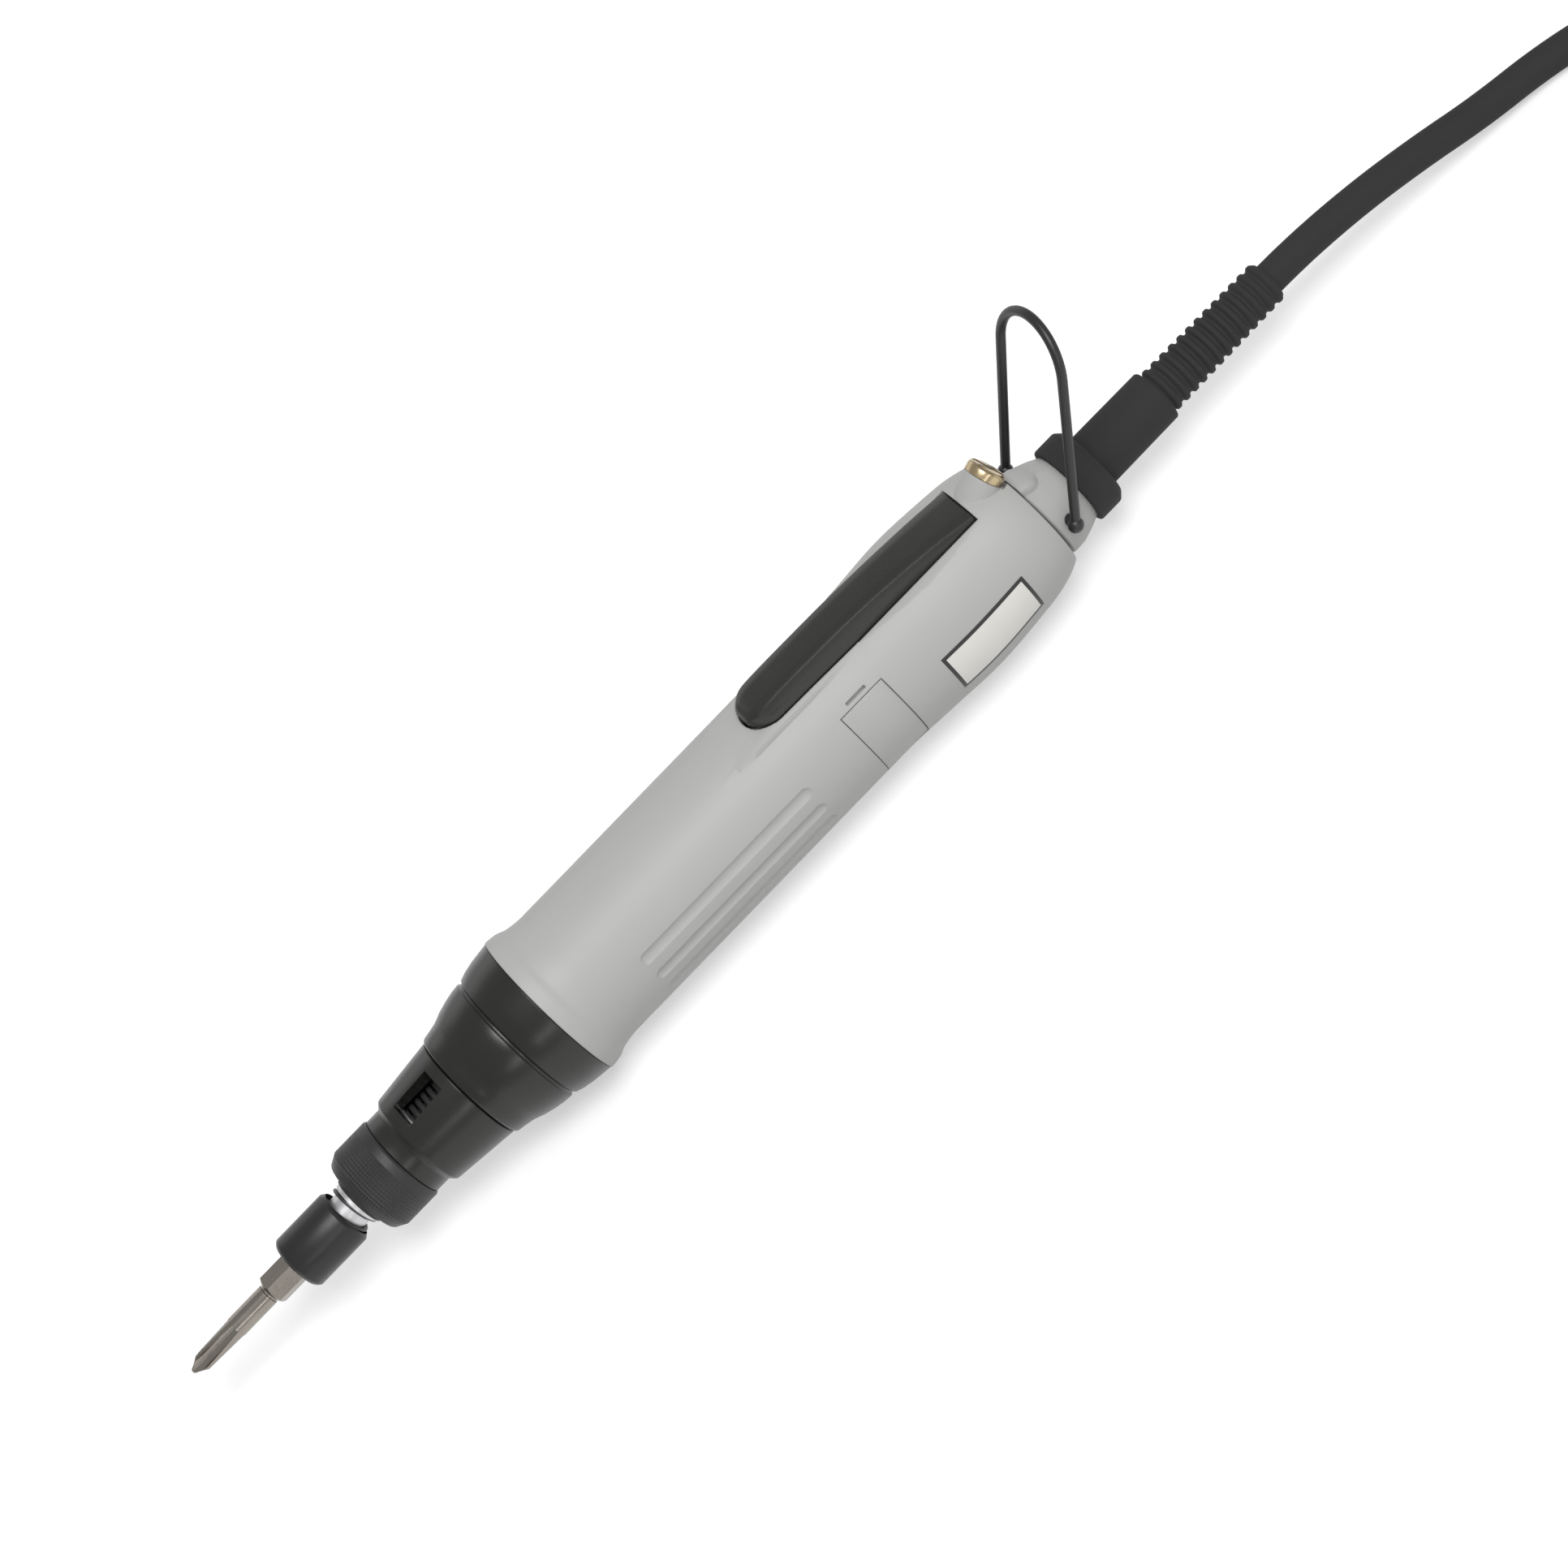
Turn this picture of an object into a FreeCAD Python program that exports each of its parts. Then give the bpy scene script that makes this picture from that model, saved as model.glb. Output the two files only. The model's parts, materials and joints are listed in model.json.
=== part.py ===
import FreeCAD, Part
import math
import os

# Corded lever-start electric screwdriver, lying on a surface with its lever up.
# Millimetres.  X runs from the bit (negative) to the cord (positive), Z is up.
# Every piece is first made around the tool axis and then lifted by axis_height.

V = FreeCAD.Vector
ALONG, ACROSS, UP = V(1, 0, 0), V(0, 1, 0), V(0, 0, 1)

# Lengths of the stretches along the tool, from the tip of the bit to the end of the boot
bit_exposed = 30.2
sleeve_length = 14.5
spring_gap = 3.8
ring_length = 11.6
neck_length = 4.6
scale_length = 14.2
cone_front_length = 14.2
cone_rear_length = 9.7
cap_length = 9.9
gland_length = 6.9
boot_plain_length = 19.3
boot_rib_length = 32.4

# Clearances
running_gap = 0.04
slide_gap = 0.15
seat_gap = 0.05
clear_gap = 0.3
hinge_gap = 0.08
overrun = 2.0
flat_share = 0.002

# Bit
bit_shaft_r = 2.4
bit_point_r = 0.5
bit_point_length = 2.9
bit_step = 22.6
bit_step_chamfer = 0.8
hex_across = 6.35
bit_grip = 20.0
bit_groove_r = 1.1
bit_groove_back = 9.5
flute_r = 1.5
flute_length = 10.5
flute_depth = 1.35

# Chuck sleeve, its spring and its stop ring
sleeve_r = 6.5
sleeve_chamfer = 0.9
sleeve_travel = 3.0
stop_ring_r = 5.3
stop_ring_thick = 0.9
stop_groove_depth = 0.45
sleeve_lip = 0.5
sleeve_land = 9.2
ball_land = 2.5
sleeve_spring_wire_r = 0.35
sleeve_spring_turns = 2
bit_ball_r = 1.0
bit_ball_sink = 0.725

# Spindle
spindle_r = 4.35
collar_r = 5.35
collar_length = 1.0

# Torque ring, its bush and the nut that it drives
ring_r = 10.4
ring_chamfer = 2.4
ring_rear_chamfer = 0.4
ring_web = 2.2
boss_wall = 1.3
boss_length = 15.0
bush_wall = 1.2
nut_wall = 1.25
nut_length = 14.0
nut_web = 2.0
nut_front_gap = 2.6
torque_spring_wire_r = 0.65
torque_spring_turns = 4

# Scale barrel
neck_r = 10.0
scale_front_r = 11.0
scale_rear_r = 12.6
scale_shoulder = 1.1
barrel_spigot = 5.0
barrel_spigot_r = 10.6
barrel_wall = 0.75
window_start = 1.8
window_length = 10.6
window_width = 5.9
window_turn = 13.0

# Nose cone
cone_front_rise = 0.25
cone_waist_rise = 0.75
cone_lip = 3.3
cone_step_fall = 0.65
cone_groove_width = 1.3
cone_groove_depth = 0.5
cone_rear_fall = 0.3
cone_spigot = 4.0
cone_seam = 0.6
cone_seam_depth = 0.4

# Clutch
clutch_plate_r = 8.3
clutch_plate_thick = 3.0
clutch_ball_r = 1.5
clutch_ball_count = 4
clutch_ball_orbit = 6.2
clutch_parting = 1.6
cam_thick = 3.2
hub_r = 5.5
hub_bush_wall = 1.9

# Planetary gear: ring fixed, sun on the motor shaft, three planets
ring_gear_wall = 3.225
sun_teeth = 12
planet_teeth = 15
ring_teeth = 42
planet_count = 3
pressure_angle = math.radians(25)
addendum_share = 0.8
dedendum_share = 1.05
backlash = 0.09
gear_face = 5.0
ring_gear_length = 9.0
carrier_thick = 2.0
carrier_fall = 0.9
planet_pin_r = 1.2

# Motor
motor_plate_thick = 3.0
can_room = 2.1
can_wall = 1.0
can_length = 65.0
magnet_thick = 1.9
magnet_end_room = 8.5
magnet_half_angle = 68.0
air_gap = 0.65
armature_end_room = 12.5
slot_count = 5
slot_width = 2.6
slot_depth_share = 0.648
end_turn_length = 4.0
end_turn_fall = 1.0
shaft_r = 1.5
motor_bush_wall = 1.5
motor_bush_length = 4.0
bush_boss_wall = 1.2
commutator_r = 4.2
commutator_length = 10.0
bell_length = 19.0
bell_wall = 1.4

# Brushes and the hatches over them
brush_back = 9.1
brush_wide = 5.0
brush_tall = 4.0
brush_room = 2.0
guide_wall = 1.2
guide_stand_off = 1.4
brush_spring_wire_r = 0.25
brush_spring_r = 1.4
brush_spring_turns = 3
hatch_length = 12.9
hatch_half_angle = 43.0
hatch_thick = 1.9
hatch_boss_wall = 0.9
nail_slot_length = 5.1
nail_slot_wide = 1.1
nail_slot_depth = 0.7

# Body shells
body_r = 16.4
rim_flare = 1.65
rim_length = 6.4
rim_sag_shares = (0.42, 0.27)
rear_slope_share = 1.6
wall = 2.1
swell_rise = 1.35
swell_start_ahead = 51.4
swell_top_ahead = 25.6
shoulder_ahead = 12.9
shoulder_rise = 0.6
shoulder_mid_ahead = 5.8
shoulder_mid_fall = 0.3
rear_fall = 2.4
rear_room = 40.6
rear_wall = 3.4
cavity_rear_fall = 3.7
cavity_taper = 11.0
rib_thick = 3.0
rib_places_shares = (0.23, 0.684)
bell_rib_ahead = 2.85
flute_start_back = 20.6
flute_end_ahead = 70.3
grip_flute_r = 2.2
grip_flute_depth = 0.55
grip_flute_step_angle = 19.0
grip_flutes_per_side = 3
pad_start_ahead = 78.4
pad_full_ahead = 68.4
pad_fall_ahead = 9.5
pad_end_ahead = 1.0
pad_end_fall = 1.2
pad_half = 7.6
pad_rise = 0.4
pad_edge_r = 1.2

# Lever, its pin and its spring
lever_front_ahead = 71.0
lever_rear_ahead = 10.6
lever_half = 5.4
lever_edge = 0.7
lever_top_shares = (0.04, 0.12, 0.64)
lever_end_slope_share = 0.21
lever_front_rise = 5.6
lever_mid_rise = 4.4
lever_rear_rise = 1.8
lever_nose_rise = 1.2
lever_front_fall = 0.3
lever_mid_fall = 1.4
lever_rear_fall = 3.7
lever_pin_back = 2.95
lever_pin_fall = 1.7
lever_pin_r = 1.0
lever_pin_half = 7.4
lever_slot_side = 0.35
lever_slot_end = 0.9
lever_spring_wire_r = 0.25
lever_spring_r = 1.9
lever_spring_turns = 3

# Switch, its plunger and the board that carries it
switch_length = 20.0
switch_wide = 6.4
switch_tall = 10.0
switch_back = 5.2
switch_fall = 5.6
plunger_r = 1.2
plunger_in = 5.0
plunger_out = 1.6
plunger_sunk = 1.5
plunger_pocket = 3.4
plunger_rib_wide = 3.0
spring_in = 14.0
board_thick = 1.6
board_room = 1.9
board_back = 3.2
board_ahead = 12.4
rail_wide = 2.4
rail_thick = 1.5

# End cap with its tab, screw, gland nut and boot
cord_drop = 3.6
cap_front_fall = 2.8
cap_front_drop = 2.4
cap_mid_share = 0.45
cap_mid_fall = 0.7
cap_mid_drop = 3.2
cap_rear_r = 8.4
cap_spigot_fall = 3.2
tongue_length = 8.3
tongue_slope_length = 4.0
tongue_half = 3.0
tongue_foot = 4.0
tongue_root = 8.4
tongue_fall = 3.4
tongue_under = 3.5
screw_ahead = 2.4
screw_fall = 0.65
screw_tilt_angle = 40.0
screw_boss_side = 0.5
screw_boss_depth = 4.0
screw_head_r = 4.15
screw_head_thick = 2.4
screw_slot = 1.0
screw_slot_turn = 30.0
screw_slot_depth = 0.9
screw_shank_r = 1.5
screw_shank_length = 6.6
gland_r = 9.75
gland_chamfer = 1.4
boot_r = 6.35
boot_rear_r = 6.2
boot_rib_r = 5.35
boot_rib_end_r = 5.0
boot_root_r = 4.45
boot_ribs = 13
boot_rib_crest = 0.7
boot_crest_share = 0.55

# Bail
bail_wire_r = 1.05
bail_side_room = 1.1
bail_top_r = 10.5
bail_length = 43.5
bail_pivot_back = 4.1
bail_insert_depth = 3.0
bail_knuckle_r = 1.7
bail_rest_angle = 62.0

# Cord, its hank, the tie and the plug
cord_r = 3.6
bend_share = 0.45
hank_fold_r = 21.6
cord_sunk = 6.95
cord_straight = 7.05
cord_route = [
    V(24.05, 0, 12.4),
    V(41.05, -0.2, 8.8),
    V(57.05, -1.0, 4.9),
    V(73.05, -2.6, cord_r),
    V(87.05, -7.5, cord_r),
    V(102.05, -16.5, cord_r),
    V(117.05, -hank_fold_r, cord_r),
    V(132.05, -hank_fold_r, cord_r),
]
hank_layer = 7.9
hank_layers = 4
hank_run = 84.0
tie_thick = 1.2
tie_width = 10.0
tie_gap = 1.9
plug_grip_r = 8.0
plug_grip_length = 26.0
plug_neck_r = 5.6
plug_neck_length = 12.0
plug_shell_r = 6.6
plug_shell_length = 12.0
plug_shell_wall = 0.9
plug_pin_r = 0.6
plug_pin_orbit = 3.6
plug_pin_count = 5
plug_pin_length = 8.0
plug_disc = 3.0

# Angle from the lever to either side
side_angle = 90.0

# Stations along X, worked out from the lengths
body_length = cone_spigot + ring_gear_length + motor_plate_thick + can_length + bell_length + rear_room
total_length = sum((
    bit_exposed, sleeve_length, spring_gap, ring_length, neck_length, scale_length, cone_front_length,
    cone_rear_length, body_length, cap_length, gland_length, boot_plain_length, boot_rib_length))
x_tip = -total_length / 2
x_sleeve = x_tip + bit_exposed
x_gap = x_sleeve + sleeve_length
x_ring = x_gap + spring_gap
x_neck = x_ring + ring_length
x_scale = x_neck + neck_length
x_cone = x_scale + scale_length
x_step = x_cone + cone_front_length
x_body = x_step + cone_rear_length
x_cap = x_body + body_length
x_gland = x_cap + cap_length
x_boot = x_gland + gland_length
x_rib = x_boot + boot_plain_length
x_end = x_rib + boot_rib_length

# Radii and heights that follow from the body's radius
rim_r = body_r + rim_flare
axis_height = rim_r
swell_r = body_r + swell_rise
shoulder_r = body_r + shoulder_rise
shoulder_mid_r = body_r - shoulder_mid_fall
rear_r = body_r - rear_fall
cavity_r = body_r - wall
cavity_rear_r = cavity_r - cavity_rear_fall
pad_top = body_r + pad_rise
cone_front_r = scale_rear_r + cone_front_rise
cone_waist_r = cone_front_r + cone_waist_rise
cone_step_r = body_r - cone_step_fall
cone_rear_r = rim_r - cone_rear_fall
can_r = cavity_r - can_room
armature_r = can_r - can_wall - seat_gap - magnet_thick - air_gap
slot_depth = (armature_r - shaft_r) * slot_depth_share
end_turn_r = armature_r - end_turn_fall
brush_length = can_r - commutator_r - brush_room
guide_start = commutator_r + guide_stand_off
lever_front_top = body_r + lever_front_rise
lever_mid_top = body_r + lever_mid_rise
lever_rear_top = body_r + lever_rear_rise
lever_nose_top = body_r + lever_nose_rise
lever_front_bottom = body_r - lever_front_fall
lever_mid_bottom = body_r - lever_mid_fall
lever_rear_bottom = body_r - lever_rear_fall
lever_pin_height = body_r - lever_pin_fall
switch_top = lever_mid_bottom - switch_fall
board_height = switch_top - switch_tall
board_half = cavity_r - board_room
cap_front_r = rear_r - cap_front_fall
cap_mid_r = cap_front_r - cap_mid_fall
cap_spigot_r = cap_front_r - cap_spigot_fall
tongue_top = body_r - tongue_fall
bail_half = cap_front_r + bail_side_room
bail_insert = cap_front_r - bail_insert_depth

# Radii and stations that follow from the sizes above
bush_r = spindle_r + running_gap + bush_wall
boss_r = bush_r + boss_wall
nut_bore = boss_r + slide_gap
nut_r = nut_bore + nut_wall
barrel_bore = nut_r + slide_gap
barrel_tube_r = barrel_bore + barrel_wall
ring_bore = barrel_tube_r + hinge_gap
boss_end = x_ring + boss_length
x_nut = x_ring + ring_web + nut_front_gap
x_nut_end = x_nut + nut_length
x_cam = x_step - cam_thick - seat_gap
x_plate = x_cam - clutch_parting - clutch_plate_thick
hub_bush_r = hub_r + running_gap + hub_bush_wall
x_gear = x_body + cone_spigot
x_carrier = x_gear + clear_gap
x_planet = x_carrier + carrier_thick + clear_gap
x_motor_plate = x_gear + ring_gear_length
x_can = x_motor_plate + motor_plate_thick
x_can_end = x_can + can_length
x_bell = x_can_end
x_brush = x_bell + brush_back
x_bell_end = x_bell + bell_length
module = (cavity_r - seat_gap - ring_gear_wall) / (ring_teeth / 2 + dedendum_share)
sun_pitch_r = module * sun_teeth / 2
planet_pitch_r = module * planet_teeth / 2
ring_pitch_r = module * ring_teeth / 2
planet_orbit = sun_pitch_r + planet_pitch_r
carrier_r = ring_pitch_r - carrier_fall
motor_bush_r = shaft_r + running_gap + motor_bush_wall
x_lever = x_cap - lever_front_ahead
x_lever_end = x_cap - lever_rear_ahead
x_pin = x_lever_end - lever_pin_back
x_switch = x_bell_end + switch_back
x_board = x_bell_end + board_back
x_board_end = x_cap - board_ahead
x_plunger = x_switch + plunger_in
x_lever_spring = x_switch + spring_in
screw_seat = V(x_cap - screw_ahead, 0, body_r - screw_fall)
x_pivot = x_cap + bail_pivot_back
last_layer = hank_layer + plug_grip_r - cord_r
magnet_length = can_length - magnet_end_room - magnet_end_room
armature_length = can_length - armature_end_room - armature_end_room
cord_height = axis_height - cord_drop
cord_points = [V(x_end - cord_sunk, 0, cord_height), V(x_end + cord_straight, 0, cord_height)]
cord_points += [V(x_end, 0, 0) + step for step in cord_route]


def rod(x0, x1, r, y=0, z=0):
    """Round bar along X."""
    return Part.makeCylinder(r, x1 - x0, V(x0, y, z), ALONG)


def tube(x0, x1, r_out, r_in, y=0, z=0):
    """Round tube along X."""
    return rod(x0, x1, r_out, y, z).cut(rod(x0 - overrun, x1 + overrun, r_in, y, z))


def block(x0, x1, y0, y1, z0, z1):
    """Box between two corners."""
    return Part.makeBox(x1 - x0, y1 - y0, z1 - z0, V(x0, y0, z0))


def turned(outline, sweep=360):
    """Solid turned about the tool axis from (x, radius) corners."""
    corners = [V(x, 0, r) for x, r in outline]
    face = Part.Face(Part.makePolygon(corners + corners[:1]))
    return face.revolve(V(0, 0, 0), ALONG, sweep)


def sector(x0, x1, r_in, r_out, middle, half):
    """Part of a tube, half degrees to each side of middle, counted from +Z towards -Y."""
    ring = turned([(x0, r_in), (x0, r_out), (x1, r_out), (x1, r_in)], half + half)
    ring.rotate(V(0, 0, 0), ALONG, middle - half)
    return ring


def prism(outline, x0, x1):
    """Bar along X from (y, z) corners."""
    corners = [V(x0, y, z) for y, z in outline]
    face = Part.Face(Part.makePolygon(corners + corners[:1]))
    return face.extrude(ALONG * (x1 - x0))


def hexagon(across, x0, x1):
    """Six-sided bar along X with a flat face up."""
    corner_r = across / math.sqrt(3)
    angles = [math.radians(60 * k) for k in range(6)]
    return prism([(corner_r * math.cos(a), corner_r * math.sin(a)) for a in angles], x0, x1)


def around(shape, count):
    """Copies of a shape, evenly spaced round the tool axis."""
    copies = []
    for k in range(count):
        copy = shape.copy()
        copy.rotate(V(0, 0, 0), ALONG, 360 * k / count)
        copies.append(copy)
    return copies


def unit(vector):
    """The vector at length 1."""
    return vector * (1 / vector.Length)


def biarc(p0, t0, p1, t1):
    """Two arcs, or one straight edge, that leave p0 along t0 and reach p1 along t1."""
    span = p1 - p0
    if unit(span).cross(t0).Length < flat_share and t0.cross(t1).Length < flat_share:
        return [Part.LineSegment(p0, p1).toShape()]
    both = t0 + t1
    bend = 2 * (1 - t0.dot(t1))
    pull = span.dot(both)
    reach = span.dot(span)
    if abs(bend) < flat_share * flat_share:
        step = reach / (4 * span.dot(t1))
    else:
        step = (-pull + math.sqrt(pull * pull + bend * reach)) / bend
    joint = (p0 + p1 + (t0 - t1) * step) * 0.5
    edges = []
    for start, end, corner in ((p0, joint, p0 + t0 * step), (joint, p1, p1 - t1 * step)):
        half = (end - start).Length / 2
        middle = (start + end) * 0.5
        rise = corner - middle
        sag = half * rise.Length / (half + math.hypot(rise.Length, half))
        edges.append(Part.Arc(start, middle + unit(rise) * sag, end).toShape())
    return edges


def wire_tube(stops, r, closed_name):
    """Round tube through (point, heading) stops; prints how its volume compares with its length."""
    edges = []
    for (p0, t0), (p1, t1) in zip(stops, stops[1:]):
        edges += biarc(p0, t0, p1, t1)
    path = Part.Wire(edges)
    profile = Part.Wire([Part.Circle(stops[0][0], stops[0][1], r).toShape()])
    solid = path.makePipeShell([profile], True, False)
    solid = Part.Solid(solid) if solid.ShapeType == "Shell" else solid
    share = solid.Volume / (math.pi * r * r * path.Length)
    print(closed_name, "length", round(path.Length, 1), "volume share", round(share, 4))
    return solid


def spring_stops(mean_r, start, end, turns):
    """Quarter-turn stops of a coil spring along X about the tool axis, between two stations."""
    stops = []
    count = 4 * turns
    rise = (end - start) / count
    for k in range(count + 1):
        a = math.pi / 2 * k
        point = V(start + rise * k, mean_r * math.cos(a), mean_r * math.sin(a))
        heading = V(rise / (math.pi / 2), -mean_r * math.sin(a), mean_r * math.cos(a))
        stops.append((point, unit(heading)))
    return stops


def coil_spring(mean_r, wire_r, start, end, turns, name):
    """Open coil spring along X whose wire stays between two stations."""
    first = start + wire_r + seat_gap
    last = end - wire_r - seat_gap
    least = (last - first) / turns - wire_r - wire_r
    print(name, "least gap between turns", round(least, 3))
    return wire_tube(spring_stops(mean_r, first, last, turns), wire_r, name)


def turn_to(shape, axis, angle, place):
    """Turn a shape made along X about the origin and put it in its place."""
    shape.rotate(V(0, 0, 0), axis, angle)
    shape.translate(place)
    return shape


def make_bit():
    """Cross-head bit with a six-sided shank and the groove that the ball holds."""
    x_shank = x_tip + bit_step
    x_bit_end = x_sleeve + bit_grip
    corner_r = hex_across / math.sqrt(3)
    shaft = turned([
        (x_tip, 0), (x_tip, bit_point_r), (x_tip + bit_point_length, bit_shaft_r),
        (x_shank, bit_shaft_r), (x_shank, 0)])
    x_flute = x_tip - overrun
    run = flute_length + overrun
    lift = bit_shaft_r + flute_r - flute_depth
    slope = V(run, 0, flute_depth)
    flute = Part.makeCylinder(flute_r, slope.Length + overrun, V(x_flute, 0, lift - flute_depth / 2),
                              unit(slope))
    flute.rotate(V(0, 0, 0), ALONG, 45)
    shaft = shaft.cut(Part.makeCompound(around(flute, 4)))
    envelope = turned([
        (x_shank, 0), (x_shank, bit_shaft_r), (x_shank + bit_step_chamfer, corner_r),
        (x_bit_end - bit_step_chamfer, corner_r), (x_bit_end, bit_shaft_r), (x_bit_end, 0)])
    shank = hexagon(hex_across, x_shank, x_bit_end).common(envelope)
    x_ball = x_bit_end - bit_groove_back
    groove = Part.makeTorus(ball_height(), bit_groove_r, V(x_ball, 0, 0), ALONG)
    return shaft.fuse(shank).removeSplitter().cut(groove)


def ball_height():
    """Height of the ball that holds the bit."""
    return hex_across / 2 + bit_ball_r - bit_ball_sink


def make_bit_ball():
    """Steel ball in the spindle wall."""
    return Part.makeSphere(bit_ball_r, V(x_sleeve + bit_grip - bit_groove_back, 0, ball_height()))


def make_spindle():
    """Output spindle with its six-sided socket, ball hole, stop groove and collar."""
    x_front = x_sleeve + sleeve_lip
    x_rear = x_step + hub_r
    socket = hexagon(hex_across + seat_gap + seat_gap, x_front - overrun, x_sleeve + bit_grip + clear_gap)
    x_ball = x_sleeve + bit_grip - bit_groove_back
    ball_hole = Part.makeCylinder(bit_ball_r + seat_gap, spindle_r + overrun, V(x_ball, 0, 0), UP)
    groove = tube(x_stop(), x_stop() + stop_ring_thick, spindle_r + overrun, spindle_r - stop_groove_depth)
    collar = rod(x_ring - collar_length, x_ring, collar_r)
    bar = rod(x_front, x_rear, spindle_r).fuse(collar).removeSplitter()
    return bar.cut(socket).cut(ball_hole).cut(groove)


def x_stop():
    """Front face of the stop ring."""
    return x_sleeve + sleeve_lip + stop_ring_thick


def make_stop_ring():
    """Split ring in the spindle groove that stops the sleeve."""
    ring = tube(x_stop() + seat_gap, x_stop() + stop_ring_thick - seat_gap, stop_ring_r,
                spindle_r - stop_groove_depth + seat_gap)
    gap = block(x_stop() - overrun, x_stop() + overrun, -stop_ring_thick, stop_ring_thick, -stop_ring_r, 0)
    return ring.cut(gap)


def sleeve_shelf():
    """Station where the sleeve's spring pocket begins."""
    return x_stop() + stop_ring_thick + sleeve_land


def spring_pocket_r():
    """Radius of the pocket that takes the sleeve spring."""
    return spindle_r + slide_gap + sleeve_spring_wire_r * 2 + clear_gap


def make_sleeve():
    """Chuck sleeve: pushed back against its spring, its groove frees the ball."""
    shell = turned([
        (x_sleeve, 0), (x_sleeve, sleeve_r - sleeve_chamfer), (x_sleeve + sleeve_chamfer, sleeve_r),
        (x_gap - sleeve_chamfer, sleeve_r), (x_gap, sleeve_r - sleeve_chamfer), (x_gap, 0)])
    front = rod(x_sleeve - overrun, x_stop() + stop_ring_thick, stop_ring_r + slide_gap)
    land = rod(x_sleeve, x_gap + overrun, spindle_r + slide_gap)
    pocket = rod(sleeve_shelf(), x_gap + overrun, spring_pocket_r() + slide_gap)
    x_release = sleeve_shelf() - ball_land
    release = rod(x_release - sleeve_travel - slide_gap, x_release, stop_ring_r + slide_gap)
    return shell.cut(front).cut(land).cut(pocket).cut(release)


def make_sleeve_spring():
    """Spring behind the sleeve, seen between the sleeve and the torque ring."""
    mean_r = spindle_r + slide_gap + sleeve_spring_wire_r
    return coil_spring(mean_r, sleeve_spring_wire_r, sleeve_shelf(), x_ring - collar_length,
                       sleeve_spring_turns, "sleeve_spring")


def make_torque_ring():
    """Knurled ring whose threaded boss drives the torque nut."""
    shell = turned([
        (x_ring, 0), (x_ring, ring_r - ring_chamfer / 2), (x_ring + ring_chamfer, ring_r),
        (x_neck - ring_rear_chamfer, ring_r), (x_neck, ring_r - ring_rear_chamfer), (x_neck, 0)])
    hollow = rod(x_ring + ring_web, x_neck + overrun, ring_bore)
    boss = rod(x_ring + seat_gap, boss_end, boss_r)
    bore = rod(x_ring - overrun, boss_end + overrun, bush_r)
    return shell.cut(hollow).fuse(boss).removeSplitter().cut(bore)


def make_front_bush():
    """Plain bearing in the ring's boss that the spindle runs in."""
    return tube(x_ring + seat_gap, boss_end - seat_gap, bush_r, spindle_r + running_gap)


def make_torque_nut():
    """Nut inside the barrel, pressed by the spring; its edge shows in the window."""
    outside = rod(x_nut, x_nut_end, nut_r)
    return outside.cut(rod(x_nut - overrun, x_nut_end - nut_web, nut_bore)).cut(
        rod(x_nut, x_nut_end + overrun, spindle_r + clear_gap))


def make_torque_spring():
    """Spring that loads the clutch."""
    mean_r = bush_r + torque_spring_wire_r
    return coil_spring(mean_r, torque_spring_wire_r, x_nut_end, x_plate, torque_spring_turns,
                       "torque_spring")


def make_scale_barrel():
    """Front barrel of the nose with the window that shows the torque setting."""
    x_front = x_ring + ring_web + clear_gap
    outside = turned([
        (x_front, 0), (x_front, barrel_tube_r), (x_neck + seat_gap, barrel_tube_r), (x_neck + seat_gap,
                                                                                     neck_r),
        (x_scale, neck_r), (x_scale + scale_shoulder, scale_front_r), (x_cone, scale_rear_r),
        (x_cone, barrel_spigot_r), (x_cone + barrel_spigot, barrel_spigot_r), (x_cone + barrel_spigot, 0)])
    bore = rod(x_front - overrun, x_cone + barrel_spigot + overrun, barrel_bore)
    x_window = x_scale + window_start
    window = block(x_window, x_window + window_length, -window_width / 2, window_width / 2, 0, rim_r)
    window.rotate(V(0, 0, 0), ALONG, window_turn)
    return outside.cut(bore).cut(window)


def make_nose_cone():
    """Stepped cone between the barrel and the body, with the seat of the hub bush."""
    x_groove = x_step - cone_groove_width
    x_waist = x_cone + cone_lip
    outside = turned([
        (x_cone + cone_seam, 0), (x_cone + cone_seam,
                                  cone_front_r - cone_seam_depth), (x_cone + cone_seam * 2, cone_front_r),
        (x_waist, cone_waist_r), (x_groove, cone_step_r),
        (x_groove + cone_groove_depth, cone_step_r - cone_groove_depth),
        (x_step - cone_groove_depth, cone_step_r - cone_groove_depth), (x_step, cone_step_r),
        (x_body, cone_rear_r), (x_body, cavity_r - seat_gap), (x_gear, cavity_r - seat_gap), (x_gear, 0)])
    front = rod(x_cone, x_cone + barrel_spigot, barrel_spigot_r + seat_gap)
    chamber = rod(x_cone, x_step, clutch_plate_r + clear_gap)
    seat = rod(x_step - overrun, x_gear + overrun, hub_bush_r + seat_gap)
    return outside.cut(front).cut(chamber).cut(seat)


def make_hub_bush():
    """Plain bearing of the carrier hub."""
    return tube(x_step + seat_gap, x_gear, hub_bush_r, hub_r + running_gap)


def clutch_balls_at(r):
    """Spheres of the given radius in the places of the clutch balls."""
    middle = V(x_cam - clutch_parting / 2, 0, clutch_ball_orbit)
    return around(Part.makeSphere(r, middle), clutch_ball_count)


def make_clutch_plate():
    """Clutch plate on the spindle, pressed by the spring."""
    plate = tube(x_plate + seat_gap, x_plate + clutch_plate_thick, clutch_plate_r, spindle_r + seat_gap)
    return plate.cut(Part.makeCompound(clutch_balls_at(clutch_ball_r + seat_gap)))


def make_clutch_balls():
    """Balls between the clutch plate and the cam."""
    return Part.makeCompound(clutch_balls_at(clutch_ball_r))


def planet_places():
    """Angles of the planets round the tool axis, from +Y towards +Z."""
    return [2 * math.pi * k / planet_count for k in range(planet_count)]


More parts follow.
